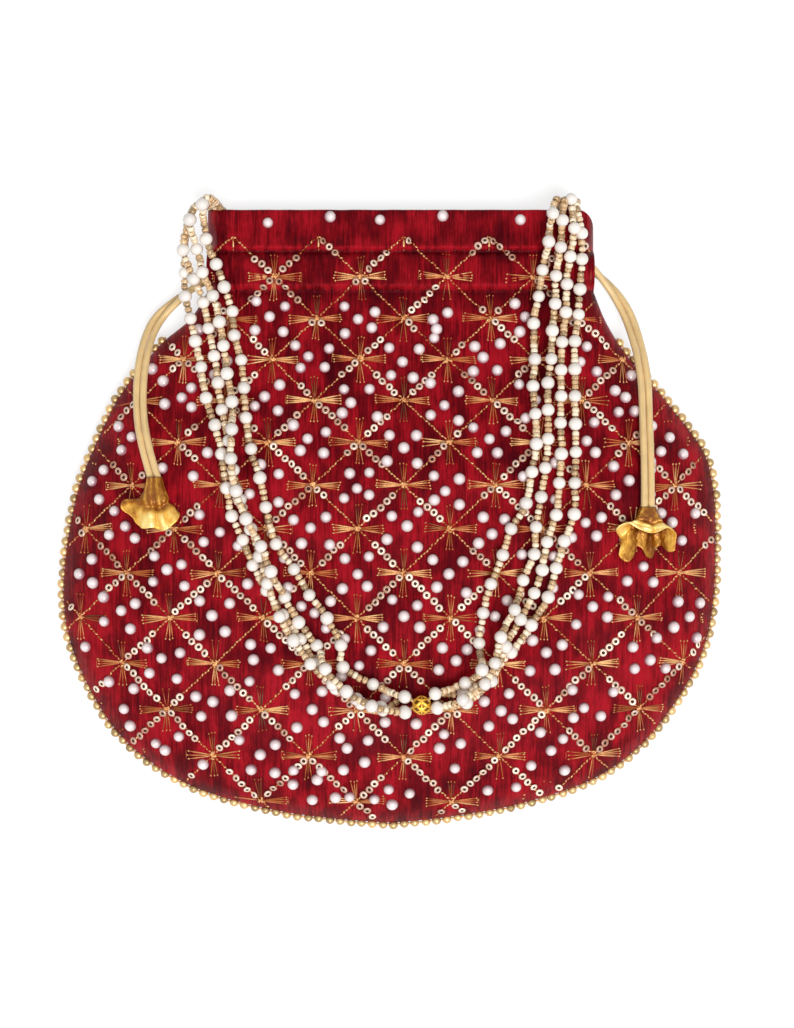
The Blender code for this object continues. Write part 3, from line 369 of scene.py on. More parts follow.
def seam_distance(x, y):
    """How far points lie from the seam, as the least distance to any of its straight runs."""
    p = np.stack([np.ravel(x), np.ravel(y)], axis=1)
    best = np.full(len(p), np.inf)
    for a, b in zip(SEAM[:-1], SEAM[1:]):
        run = b - a
        t = np.clip(((p - a) @ run) / max(run @ run, 1e-18), 0, 1)
        gap = p - a - t[:, None] * run
        best = np.minimum(best, gap[:, 0] ** 2 + gap[:, 1] ** 2)
    return np.sqrt(best).reshape(np.shape(x))


def side_edges(y):
    """The x of the left and right edge at each y, with the top right corner rounded."""
    low = int(np.argmin(SEAM[:, 1]))
    left, right = SEAM[:low + 1][::-1], SEAM[low:]
    xl = np.interp(y, np.maximum.accumulate(left[:, 1]), left[:, 0])
    xr = np.interp(y, np.maximum.accumulate(right[:, 1]), right[:, 0])
    up = np.clip(y - (TOP_Y - CORNER_RADIUS), 0, CORNER_RADIUS)
    return xl, xr - CORNER_RADIUS + np.sqrt(CORNER_RADIUS ** 2 - up ** 2)


def inside(x, y, margin):
    """Whether points lie inside the outline and at least a margin from the seam."""
    xl, xr = side_edges(y)
    return (x > xl) & (x < xr) & (y < TOP_Y - margin) & (seam_distance(x, y) > margin)


def rise(t):
    """The rounded rise of a stuffed panel from its seam, 0 to 1: a flattened quarter circle."""
    t = np.clip(t, 0, 1)
    return (1 - (1 - t) ** 2) ** 0.75


def channel_bulge(y):
    """The channel's swelling across its height: half an ellipse between the stitch lines."""
    c = np.clip((y - LOWER_STITCH_Y) / CHANNEL_HEIGHT, 0, 1)
    return np.sqrt(np.maximum(4 * c * (1 - c), 0))


def swelling(x, y, rounding, open_sides):
    """How far a face has risen from the seam, 0 to 1, and how far below the neck it lies.

    The rise rounds over a width that grows from the neck's to the belly's. With open_sides the
    channel keeps its height out to its ends, where the cords come out.
    """
    down = smoothstep((LOWER_STITCH_Y - y) / NECK_BLEND)
    radius = NECK_ROUNDING + (rounding - NECK_ROUNDING) * down
    up = rise(seam_distance(x, y) / radius)
    if open_sides:
        up = np.maximum(up, channel_bulge(y) ** 0.7)
    return up, down


def front_height(x, y, open_sides=False):
    """Height of the front's outer face: the seam's height plus a rise to the crown.

    The crown goes from the casing's height at the neck to the belly's.
    """
    up, down = swelling(x, y, BELLY_ROUNDING, open_sides)
    casing = FRONT_CHANNEL_Z + CLOTH + CHANNEL_BORE / 2 * channel_bulge(y)
    crown = casing + (BELLY_Z - casing) * down
    base = SEAM_Z + GAP / 2 + CLOTH
    return base + (crown - base) * up


def back_height(x, y, open_sides=False):
    """Height of the back's outer face: flat on z = 0, rising to the seam and hollow at stitches."""
    up, _ = swelling(x, y, BACK_ROUNDING, open_sides)
    above = 1 - channel_bulge(y)
    below = 1 - smoothstep((LOWER_STITCH_Y - y) / HEM_ALLOWANCE)
    hollow = CHANNEL_BORE / 2 * np.where(y > LOWER_STITCH_Y, above, below)
    base = SEAM_Z - GAP / 2 - CLOTH
    return hollow + (base - hollow) * (1 - up)


def row_height(k):
    """The y of a row of crossings: the rows widen downwards, and sit a little high in the belly."""
    k = np.asarray(k, float)
    high = 1.4 * MM * np.sin(math.pi * (np.clip(k, 0, 12) / 12) ** 1.4)
    return LOWER_STITCH_Y + LATTICE_TOP - ROW_PITCH * k - ROW_GROWTH * k * k + high


def lattice_coordinates(x, y):
    """The lattice's own coordinates: on a couched line one of the two is an odd number."""
    rows = np.linspace(-3, 15, 400)
    row = np.interp(-y, -row_height(rows), rows)
    across = (x - LATTICE_X) / (HALF_PERIOD + PERIOD_GROWTH * row)
    return row + across, row - across


def waves(x, seed, shortest, longest, count):
    """A sum of sines with seeded lengths and phases, between about -1 and 1."""
    rng = np.random.default_rng(seed)
    lengths = rng.uniform(shortest, longest, count)
    phases = rng.uniform(0, 2 * math.pi, count)
    return sum(np.sin(2 * math.pi * x / w + p) for w, p in zip(lengths, phases)) / math.sqrt(count)


def relief(x, y, cloth, seed):
    """Small forms of the cloth: puffs between the couched lines, a plump fold just above each
    stitch line with gathers that fade away from it, and soft upright folds in the frill."""
    a, b = lattice_coordinates(x, y)
    puff = (np.cos(math.pi * a / 2) * np.cos(math.pi * b / 2)) ** 2
    below = smoothstep((LOWER_STITCH_Y - 4 * MM - y) / (12 * MM))
    out = cloth.puff * np.sqrt(puff) * below
    skew = 0.25 * (y - CHANNEL_Y)
    gather = waves(x + skew, seed, 2.3 * MM, 5.0 * MM, 8)
    broad = waves(x - skew, seed + 1, 7 * MM, 17 * MM, 5)
    for line, plump in ((LOWER_STITCH_Y, LOWER_PLUMP), (UPPER_STITCH_Y, UPPER_PLUMP)):
        off = y - line
        above = smoothstep(off / (1.4 * MM)) * np.exp(-(off / PLUMP_REACH) ** 2)
        crest = np.where(off > 0, above, -0.5 * np.exp(off / (2.4 * MM)))
        reach = np.where(off > 0, 6.0 * MM, 4.0 * MM)
        out = out + plump * (1 + 0.22 * broad) * crest
        out = out + cloth.pucker * gather * np.exp(-np.abs(off) / reach) * 0.8
    upper = smoothstep((y - UPPER_STITCH_Y) / (8 * MM))
    return out + cloth.pucker * 0.5 * broad * upper


def painted_fold_light(x, y):
    """Painted shade and highlight of the casing folds: 1 in the groove below a stitch line, fading
    over 3 mm, as painted shade, and down to -1 on the crest of the fold just above it, as a painted
    highlight, more and less by seeded gathers."""
    ragged = np.clip(0.75 + 0.6 * waves(x, 17, 2.5 * MM, 9 * MM, 8), 0.1, 1.4)
    out = np.zeros_like(x)
    for line in (LOWER_STITCH_Y, UPPER_STITCH_Y):
        off = (y - line) / MM
        crest = -ragged * np.exp(-((off - 1.0) / 1.1) ** 2)
        out = out + np.where(off > 0, crest, np.exp(np.minimum(off, 0) / 3.0))
    return out


def edge_fade(x, y):
    """0 at the seam and 1 from 5 mm inside it, so small forms don't open the seam."""
    return smoothstep(seam_distance(x, y) / (5 * MM))


def top_fold(y):
    """How far the cloth has turned down at the top edge: a quarter circle of the cloth's fold."""
    over = np.clip(y - (TOP_Y - CLOTH), 0, CLOTH)
    return CLOTH - np.sqrt(np.maximum(CLOTH ** 2 - over ** 2, 0))


def front_face(x, y):
    """The front's outer face with its small forms."""
    cloth = bpy.context.scene.potli_cloth
    return front_height(x, y, True) + relief(x, y, cloth, 3) * edge_fade(x, y) - top_fold(y)


def back_face(x, y):
    """The back's outer face with its small forms, lifted by the half pearls that it lies on."""
    cloth = bpy.context.scene.potli_cloth
    belly = smoothstep((LOWER_STITCH_Y - y) / (20 * MM))
    lift = (0.35 * MM + (cloth.back_lift - 0.35 * MM) * belly) * edge_fade(x, y)
    small = relief(x, y, cloth, 11) * edge_fade(x, y) * 0.4
    return np.maximum(back_height(x, y, True) + lift - small, 0.0) + top_fold(y)


class HeightMap:
    """A face's height on a fine grid, read in between by its four nearest points."""

    def __init__(self, face):
        self.x = np.arange(*MAP_X, MAP_STEP)
        self.y = np.arange(*MAP_Y, MAP_STEP)
        self.z = face(*np.meshgrid(self.x, self.y))
        self.dy, self.dx = np.gradient(self.z, MAP_STEP)

    def read(self, table, x, y):
        i = np.clip((x - self.x[0]) / MAP_STEP, 0, len(self.x) - 1.001)
        j = np.clip((y - self.y[0]) / MAP_STEP, 0, len(self.y) - 1.001)
        a, b = i.astype(int), j.astype(int)
        u, v = i - a, j - b
        return ((table[b, a] * (1 - u) + table[b, a + 1] * u) * (1 - v)
                + (table[b + 1, a] * (1 - u) + table[b + 1, a + 1] * u) * v)

    def height(self, x, y):
        return self.read(self.z, x, y)

    def normal(self, x, y):
        return unit(np.stack([-self.read(self.dx, x, y), -self.read(self.dy, x, y),
                              np.ones_like(x)], axis=-1))


MAPS = {}


def face_map(side):
    """The height map of the front (1) or the back (-1), made once for each state of the cloth."""
    cloth = bpy.context.scene.potli_cloth
    key = (side, cloth.puff, cloth.pucker, cloth.back_lift)
    if key not in MAPS:
        MAPS[key] = HeightMap(front_face if side > 0 else back_face)
    return MAPS[key]


# Meshes.

def grid_quads(rows, columns, wrap=False, close=False):
    """Quads of a grid of points: wrap joins its last column to the first, close its last row."""
    i = np.arange(rows if close else rows - 1)[:, None]
    j = np.arange(columns if wrap else columns - 1)[None, :]
    k, n = (j + 1) % columns, (i + 1) % rows
    return np.stack([i * columns + j, i * columns + k, n * columns + k, n * columns + j],
                    axis=-1).reshape(-1, 4)


def capped(rows, columns, quads):
    """Quads of a tube of rings as a list, with a face over each end."""
    last = (rows - 1) * columns
    ends = [list(range(columns))[::-1], [last + j for j in range(columns)]]
    return [*quads.tolist(), *ends]


def piece(name, points, faces, material, slot, tone=None, indices=None, uv=None):
    """A mesh object at the origin, riding on the bag."""
    mesh = bpy.data.meshes.new(name)
    if isinstance(faces, np.ndarray):
        count, size = faces.shape
        mesh.vertices.add(len(points))
        mesh.vertices.foreach_set("co", np.asarray(points, np.float32).ravel())
        mesh.loops.add(count * size)
        mesh.loops.foreach_set("vertex_index", faces.astype(np.int32).ravel())
        mesh.polygons.add(count)
        mesh.polygons.foreach_set("loop_start", np.arange(0, count * size, size, dtype=np.int32))
        mesh.update(calc_edges=True)
    else:
        mesh.from_pydata([tuple(map(float, p)) for p in points], [], faces)
    mesh.validate()
    mesh.polygons.foreach_set("use_smooth", np.ones(len(mesh.polygons), bool))
    if tone is not None:
        mesh.attributes.new("tone", "FLOAT", "POINT").data.foreach_set(
            "value", np.asarray(tone, np.float32).ravel())
    if uv is not None:
        layer = mesh.uv_layers.new(name="UVMap")
        corners = np.empty(len(mesh.loops), np.int32)
        mesh.loops.foreach_get("vertex_index", corners)
        layer.data.foreach_set("uv", np.asarray(uv, np.float32)[corners].ravel())
    for finish in material if isinstance(material, (list, tuple)) else [material]:
        mesh.materials.append(finish)
    if indices is not None:
        mesh.polygons.foreach_set("material_index", np.asarray(indices, np.int32))
    obj = bpy.data.objects.new(name, mesh)
    bpy.context.scene.collection.objects.link(obj)
    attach(obj, "root")
    return obj


def stamped(shape, quads, places, right, forward, up, sizes):
    """Copies of a small shape: its x, y and z go along each copy's own three directions."""
    sizes = np.broadcast_to(np.asarray(sizes, float), (len(places),))[:, None, None]
    moved = (shape[None, :, 0:1] * right[:, None] + shape[None, :, 1:2] * forward[:, None]
             + shape[None, :, 2:3] * up[:, None]) * sizes
    return (places[:, None] + moved).reshape(-1, 3), repeated(quads, len(places), len(shape))


def repeated(quads, count, size):
    """The quads of count copies of a shape with size points."""
    return (quads[None] + (np.arange(count) * size)[:, None, None]).reshape(-1, 4)


def turned(profile, sides, close=False):
    """A turned shape: each profile point (radius, height) is carried round the z axis."""
    r, z = np.array(profile, float).T
    a = 2 * math.pi * np.arange(sides) / sides
    points = np.stack([r[:, None] * np.cos(a), r[:, None] * np.sin(a),
                       np.broadcast_to(z[:, None], (len(r), sides))], axis=-1)
    return points.reshape(-1, 3), grid_quads(len(r), sides, True, close)


def ball(sides, rings, low=-math.pi / 2):
    """A ball of radius 1, or the part of it above the latitude low. Its poles are tiny rings."""
    lat = np.linspace(low, math.pi / 2, rings)
    r = np.maximum(np.cos(lat), 0.004)
    return turned(np.stack([r, np.sin(lat)], axis=1), sides)


def frames(path):
    """Sideways and upward unit vectors for each point of a path, kept from flipping."""
    run = unit(np.gradient(path, axis=0))
    side = np.cross(run, [0.0, 0.0, 1.0])
    size = np.linalg.norm(side, axis=1)
    for i in range(1, len(side)):
        if size[i] < 0.3:
            side[i] = side[i - 1] - run[i] * (side[i - 1] @ run[i])
        elif side[i] @ side[i - 1] < 0:
            side[i] = -side[i]
        side[i] /= max(np.linalg.norm(side[i]), 1e-12)
    side[0] /= max(np.linalg.norm(side[0]), 1e-12)
    return run, side, np.cross(side, run)


def tube(path, radius, sides, ripple=1.0):
    """A round profile carried along a path: the path plus radius times a circle across it."""
    _, side, up = frames(path)
    a = 2 * math.pi * np.arange(sides) / sides
    r = np.broadcast_to(radius * ripple, (len(path), sides))
    ring = np.cos(a)[None, :, None] * side[:, None] + np.sin(a)[None, :, None] * up[:, None]
    points = path[:, None] + r[..., None] * ring
    s = along(path)
    uv = np.stack([np.broadcast_to(np.arange(sides) / sides, r.shape),
                   np.broadcast_to(s[:, None], r.shape)], axis=-1).reshape(-1, 2)
    return points.reshape(-1, 3), grid_quads(len(path), sides, True), uv


def double_layer(x, y, high, low):
    """A closed sheet from two grids of heights over the same places, joined round its rim."""
    rows, columns = x.shape
    n = rows * columns
    points = np.vstack([np.stack([x, y, high], axis=-1).reshape(-1, 3),
                        np.stack([x, y, low], axis=-1).reshape(-1, 3)])
    top = grid_quads(rows, columns)
    bottom = top[:, ::-1] + n
    grid = np.arange(n).reshape(rows, columns)
    rim = np.concatenate([grid[0], grid[1:, -1], grid[-1, -2::-1], grid[-2:0:-1, 0]])
    after = np.roll(rim, -1)
    wall = np.stack([after, rim, rim + n, after + n], axis=-1)
    return points, np.vstack([top, bottom, wall])


def panel_grid(columns, belly_rows, casing_rows):
    """Places over the whole panel: rows of constant y, each from the left edge to the right."""
    low = SEAM[:, 1].min()
    t = np.linspace(0, 1, belly_rows)
    belly = low + 0.03 * MM + (LOWER_STITCH_Y - 8 * MM - low) * (0.35 * t ** 2 + 0.65 * t)
    casing = np.linspace(LOWER_STITCH_Y - 8 * MM, TOP_Y - CLOTH, casing_rows)[1:]
    fold = TOP_Y - CLOTH * (1 - np.sin(np.radians([30, 60, 80, 90])))
    y = np.concatenate([belly, casing, fold])
    xl, xr = side_edges(y)
    across = 0.5 - 0.5 * np.cos(math.pi * (0.12 + 0.76 * np.linspace(0, 1, columns)))
    across = (across - across[0]) / (across[-1] - across[0])
    return xl[:, None] + (xr - xl)[:, None] * across, np.repeat(y[:, None], columns, axis=1)


# Materials.

def add_node(tree, kind, inputs, **settings):
    """A shader node with its settings, and each of its inputs linked or set."""
    made = tree.nodes.new(kind)
    for key, value in settings.items():
        setattr(made, key, value)
    for key, value in inputs.items():
        if isinstance(value, bpy.types.NodeSocket):
            tree.links.new(value, made.inputs[key])
        else:
            made.inputs[key].default_value = value
    return made


class Finish:
    """A Principled material under construction, with short calls for its nodes."""

    def __init__(self, name, roughness, metallic=0.0, **sockets):
        self.material = bpy.data.materials.new(name)
        self.material.use_nodes = True
        self.tree = self.material.node_tree
        self.shader = self.tree.nodes["Principled BSDF"]
        self.shader.inputs["Roughness"].default_value = roughness
        self.shader.inputs["Metallic"].default_value = metallic
        for key, value in sockets.items():
            self.shader.inputs[key.replace("_", " ")].default_value = value
        places = self.tree.nodes.new("ShaderNodeTexCoord").outputs
        self.place, self.uv = places["Object"], places["UV"]

    def node(self, kind, inputs, **settings):
        return add_node(self.tree, kind, inputs, **settings)

    def noise(self, scale, detail=2.0, stretch=(1, 1, 1), rough=0.5, place=None):
        moved = self.node("ShaderNodeMapping", {"Vector": place or self.place, "Scale": stretch})
        made = self.node("ShaderNodeTexNoise", {"Vector": moved.outputs[0], "Scale": scale,
                                                "Detail": detail, "Roughness": rough})
        return made.outputs["Fac"]

    def math(self, operation, a, b=0.0, c=0.0):
        return self.node("ShaderNodeMath", {0: a, 1: b, 2: c}, operation=operation).outputs[0]

    def tone(self):
        return self.node("ShaderNodeAttribute", {}, attribute_name="tone").outputs["Fac"]

    def ramp(self, value, stops):
        """The base colour: stops of a place and a colour along a value."""
        made = self.node("ShaderNodeValToRGB", {"Fac": value})
        elements = made.color_ramp.elements
        while len(elements) < len(stops):
            elements.new(0.5)
        for element, (at, shade) in zip(elements, stops):
            element.position = at
            element.color = (*shade, 1.0)
        self.tree.links.new(made.outputs["Color"], self.shader.inputs["Base Color"])

    def rough(self, value, low, high):
        """The roughness: from low to high as a noise goes from 0.3 to 0.7."""
        made = self.node("ShaderNodeMapRange", {"Value": value, "From Min": 0.3, "From Max": 0.7,
                                                "To Min": low, "To Max": high})
        self.tree.links.new(made.outputs[0], self.shader.inputs["Roughness"])

    def bump(self, height, distance, strength=1.0):
        made = self.node("ShaderNodeBump", {"Height": height, "Distance": distance,
                                            "Strength": strength})
        self.tree.links.new(made.outputs[0], self.shader.inputs["Normal"])


def shade(value, factor):
    """A colour made lighter or darker by a factor."""
    return tuple(min(1.0, c * factor) for c in value)


def speckled(name, roughness, stops, grain, share=1.0, tone=0.0, less=0.0, worn=None, bump=None,
             metallic=0.0, **sockets):
    """A finish coloured by fine noise and the piece's own tone, made once.

    The value along the stops is the noise times a share, plus the tone times its share or less a
    fixed step. Worn varies the roughness by another noise, and bump adds a fine one.
    """
    if name in bpy.data.materials:
        return bpy.data.materials[name]
    f = Finish(name, roughness, metallic, **sockets)
    value = f.noise(*grain)
    if tone or less:
        toned = f.math("MULTIPLY", f.tone(), tone) if tone else f.math("SUBTRACT", f.tone(), less)
        value = f.math("MULTIPLY_ADD", value, share, toned)
    f.ramp(value, stops)
    if worn:
        f.rough(f.noise(worn[0], 2), *worn[1:])
    if bump:
        f.bump(f.noise(*bump[0]), *bump[1:])
    return f.material


def silk():
    """Crimson slub silk: upright slubs of three widths over broad patches, partly the silk's own
    uneven colour and partly painted sheen, and a fine weave.

    The tone paints shade into the grooves below the stitch lines and a painted highlight onto the
    folds above them.
    """
    if "crimson_silk" in bpy.data.materials:
        return bpy.data.materials["crimson_silk"]
    cloth = bpy.context.scene.potli_cloth
    f = Finish("crimson_silk", 0.42, Specular_IOR_Level=0.34,
               Specular_Tint=(*srgb(235, 84, 98), 1.0))
    # Broad patches: partly the silk's own uneven colour, partly painted sheen; the lightest stop is
    # painted sheen too.
    broad = f.noise(85, 4, (1.2, 0.75, 1), 0.6)
    slub = f.noise(1.0, 3, (620, 34, 60), 0.6)
    fine = f.noise(1.0, 2, (2400, 90, 200), 0.6)
    both = f.math("MULTIPLY_ADD", slub, 0.3, f.math("MULTIPLY", broad, 0.7))
    value = f.math("MULTIPLY_ADD", fine, 0.3, f.math("MULTIPLY", both, 0.75))
    # Painted shade in the stitch lines' grooves and painted highlight on the folds above them, from
    # the tone.
    value = f.math("MULTIPLY_ADD", f.tone(), -0.085, value)
    f.ramp(value, [(0.40, cloth.silk_dark), (0.50, cloth.silk_mid), (0.60, cloth.silk_bright),
                   (0.76, shade(cloth.silk_bright, 1.3))])
    f.rough(slub, 0.5, 0.3)
    weave = f.noise(1.0, 1, (6000, 1500, 2000), 0.5)
    f.bump(f.math("MULTIPLY_ADD", fine, 0.7, weave), 0.16 * MM, 0.7)
    return f.material


def lining_cloth():
    """Plain dark crimson lining with a fine weave."""
    lining = bpy.context.scene.potli_cloth.lining
    return speckled("lining_cloth", 0.6, [(0.3, shade(lining, 0.75)), (0.7, shade(lining, 1.1))],
                    (90, 3), bump=((1.0, 1, (3200, 3200, 3200)), 0.1 * MM, 0.6),
                    Sheen_Weight=0.15)


def gold_thread():
    """Zari thread, from dark copper to bright gold by the stitch's own tone."""
    work = bpy.context.scene.potli_embroidery
    stops = [(0.0, work.thread_dark), (0.5, work.thread_mid), (1.0, work.thread_light)]
    return speckled("zari_thread", 0.34, stops, (1400, 2), 0.3, less=0.15, metallic=0.25,
                    bump=((3000, 1), 0.05 * MM, 0.8))


def sequin_finish():
    """Ring sequins from brown pink to cream, slightly worn."""
    work = bpy.context.scene.potli_embroidery
    return speckled("ring_sequin", 0.3, [(0.0, work.sequin_dark), (1.0, work.sequin_light)],
                    (900, 2), 0.25, less=0.12, worn=(1500, 0.22, 0.38), metallic=0.15,
                    Coat_Weight=0.3)


def knot_shade_finish():
    """The dark knot of thread that holds a sequin down, near black as painted shade of the sequin's
    hole.
    """
    return speckled("knot_painted_shade", 0.7, [(0.3, srgb(22, 5, 6)), (0.7, srgb(52, 14, 12))], (2500, 2))


def half_pearl_finish():
    """Sewn half pearls: cool white, with painted rose-mauve shade towards the rim and a painted
    highlight at the crown by the tone, and a clear coat.
    """
    white = bpy.context.scene.potli_embroidery.pearl_white
    stops = [(0.06, srgb(160, 112, 124)), (0.34, shade(white, 0.8)), (0.66, white),
             (0.9, srgb(250, 242, 244))]
    return speckled("half_pearl", 0.24, stops, (420, 2), 0.24, tone=0.88, Coat_Weight=0.5,
                    Coat_Roughness=0.08, Specular_IOR_Level=0.6)


def ivory_pearl():
    """The handle's ivory pearls, with a faint cloud of warmer nacre."""
    ivory = bpy.context.scene.potli_beads.ivory
    return speckled("ivory_pearl", 0.22, [(0.2, shade(ivory, 0.86)), (0.6, ivory)], (300, 2), 0.5,
                    tone=0.5, Coat_Weight=0.5, Coat_Roughness=0.06, Specular_IOR_Level=0.6)


def seed_bead():
    """Champagne seed beads: gilt seen through clear glass, with fine noise that runs up to
    near-white painted highlights.
    """
    glass = bpy.context.scene.potli_beads.champagne
    # The near-white top stop is a painted highlight.
    stops = [(0.28, shade(glass, 0.42)), (0.46, glass), (0.66, srgb(254, 238, 208))]
    return speckled("champagne_seed", 0.2, stops, (1100, 2), 0.6, tone=0.4, Coat_Weight=0.6,
                    Coat_Roughness=0.05)


def bead_thread():
    """The beads' own cream thread, twisted."""
    return speckled("bead_thread", 0.6, [(0.3, srgb(196, 160, 110)), (0.7, srgb(232, 206, 160))],
                    (2000, 2), bump=((3500, 1), 0.05 * MM, 0.8))


def antique_gold():
    """Ball beads of antique gold, darker where the plating has worn."""
    gold = bpy.context.scene.potli_beads.antique
    stops = [(0.2, shade(gold, 0.55)), (0.5, gold), (0.85, shade(gold, 1.45))]
    return speckled("antique_gold", 0.34, stops, (700, 3), 0.5, tone=0.5, metallic=0.75,
                    worn=(900, 0.28, 0.46), bump=((2600, 2), 0.04 * MM, 0.5))


def filigree_gold():
    """Bright gold wire, with painted shade in the openings between the wires."""
    gold = bpy.context.scene.potli_beads.filigree
    stops = [(0.0, shade(gold, 0.2)), (0.5, gold), (1.0, shade(gold, 1.4))]
    return speckled("filigree_gold", 0.26, stops, (1500, 2), 0.2, less=0.1, metallic=0.55)


def satin_cord():
    """Satin cord: fine ribs that run along it with a slight twist, and a soft sheen."""
    satin = bpy.context.scene.potli_cords.satin
    f = Finish("satin_cord", 0.38, Sheen_Weight=0.3, Specular_IOR_Level=0.5)
    ribs = f.noise(1.0, 2, (26, 90, 1), 0.5, f.uv)
    value = f.math("MULTIPLY_ADD", ribs, 0.6, f.math("MULTIPLY", f.noise(180, 2), 0.4))
    f.ramp(value, [(0.3, shade(satin, 0.78)), (0.5, satin), (0.7, shade(satin, 1.18))])
    f.bump(ribs, 0.16 * MM, 0.7)
    return f.material


def gold_tissue():
    """Crushed gold tissue: creases between lit and shaded faces, and a metal weave."""
    cords = bpy.context.scene.potli_cords
    dark, light = cords.tissue_dark, cords.tissue_light
    f = Finish("gold_tissue", 0.3, 0.4)
    crease = f.noise(330, 3, (1, 0.6, 1), 0.6)
    weave = f.math("MULTIPLY", f.noise(1.0, 2, (3000, 700, 3000)), 0.15)
    # The tone adds each flower's painted lip highlight, painted hollow shade and painted crease
    # light.
    value = f.math("MULTIPLY_ADD", crease, 0.5, f.math("MULTIPLY_ADD", f.tone(), 0.6, weave))
    f.ramp(value, [(0.28, shade(dark, 0.6)), (0.5, dark), (0.72, light),
                   (0.98, srgb(255, 232, 150))])
    f.rough(crease, 0.42, 0.24)
    f.bump(crease, 0.8 * MM, 0.8)
    return f.material


def red_thread():
    """Sewing thread of the casing, a little brighter than the silk."""
    return speckled("red_thread", 0.5, [(0.3, srgb(52, 3, 10)), (0.7, srgb(96, 8, 20))], (2200, 2))


# The panels.


class POTLI_OT_panels(bpy.types.Operator):
    """Front and back of slub silk, each with its turned hem at the mouth"""
    bl_idname = "potli.panels"
    bl_label = "Silk panels"

    def execute(self, context):
        finish = silk()
        x, y = panel_grid(*FRONT_GRID)
        high = front_face(x, y)
        low = np.minimum(high - CLOTH, front_face(x, np.minimum(y, TOP_Y - CLOTH)) - CLOTH)
        points, faces = double_layer(x, y, high, low)
        # The cloth's tone carries the painted shade and highlight of the casing folds.
        front = piece("front_cloth", points, faces, finish, "brocade",
                      painted_fold_light(points[:, 0], points[:, 1]))
        x, y = panel_grid(*BACK_GRID)
        low = back_face(x, y)
        high = np.maximum(low + CLOTH, back_face(x, np.minimum(y, TOP_Y - CLOTH)) + CLOTH)
        points, faces = double_layer(x, y, high, low)
        back = piece("back_cloth", points, faces, finish, "brocade",
                     painted_fold_light(points[:, 0], points[:, 1]))
        for obj, node in ((front, "front_panel"), (back, "back_panel")):
            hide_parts(node)
        self.hem("front_hem", 1, finish, "front_panel")
        self.hem("back_hem", -1, finish, "back_panel")
        return {"FINISHED"}

    def hem(self, name, side, finish, node):
        """The turned-in hem: the casing's inner cloth, a mirror of the outer about the channel."""
        y = np.linspace(LOWER_STITCH_Y - HEM_ALLOWANCE, TOP_Y - 0.4 * MM, 30)
        xl, xr = side_edges(y)
        across = np.linspace(0, 1, 64)
        wide = (xr - xl - 2 * HEM_INSET)[:, None]
        x = (xl + HEM_INSET)[:, None] + wide * across
        y = np.repeat(y[:, None], 64, axis=1)
        bulge = CHANNEL_BORE / 2 * channel_bulge(y)
        middle = FRONT_CHANNEL_Z if side > 0 else BACK_CHANNEL_Z
        down = smoothstep((LOWER_STITCH_Y - y) / NECK_BLEND)
        settle = (BELLY_Z - middle - CLOTH) * down if side > 0 else 0.0
        ripple = waves(x, 21 + side, 5 * MM, 14 * MM, 5) * 0.15 * MM
        outer = middle + settle - side * (bulge + 0.08 * MM) + ripple
        inner = outer - side * CLOTH * 0.9
        high, low = (outer, inner) if side > 0 else (inner, outer)
        obj = piece(name, *double_layer(x, y, high, low), finish, "brocade")
        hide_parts(node)


class POTLI_OT_linings(bpy.types.Operator):
    """The two lining panels inside the pouch"""
    bl_idname = "potli.linings"
    bl_label = "Linings"

    def execute(self, context):
        finish = lining_cloth()
        top = LOWER_STITCH_Y - HEM_ALLOWANCE - 2 * MM
        low = SEAM[:, 1].min() + SEAM_ALLOWANCE
        t = np.linspace(0, 1, 50)
        y = low + (top - low) * (0.3 * t ** 2 + 0.7 * t)
        xl, xr = side_edges(y)
        squeeze = 1 - SEAM_ALLOWANCE * 2 / (xr - xl)
        middle, half = (xl + xr) / 2, (xr - xl) / 2 * np.clip(squeeze, 0.02, 1)
        x = middle[:, None] + half[:, None] * np.linspace(-1, 1, 62)
        y = np.repeat(y[:, None], 62, axis=1)
        folds = waves(x + 0.3 * y, 5, 14 * MM, 40 * MM, 5) * 0.2 * MM * edge_fade(x, y)
        high = front_height(x, y) - CLOTH - LINING_GAP + folds - 0.1 * MM
        front = piece("front_lining_cloth", *double_layer(x, y, high, high - LINING_CLOTH), finish,
                      "lining")
        low = back_height(x, y) + CLOTH + LINING_GAP + folds + 0.9 * MM * edge_fade(x, y)
        back = piece("back_lining_cloth", *double_layer(x, y, low + LINING_CLOTH, low), finish,
                     "lining")
        for obj, node in ((front, "front_lining"), (back, "back_lining")):
            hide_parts(node)
        return {"FINISHED"}


# Embroidery.

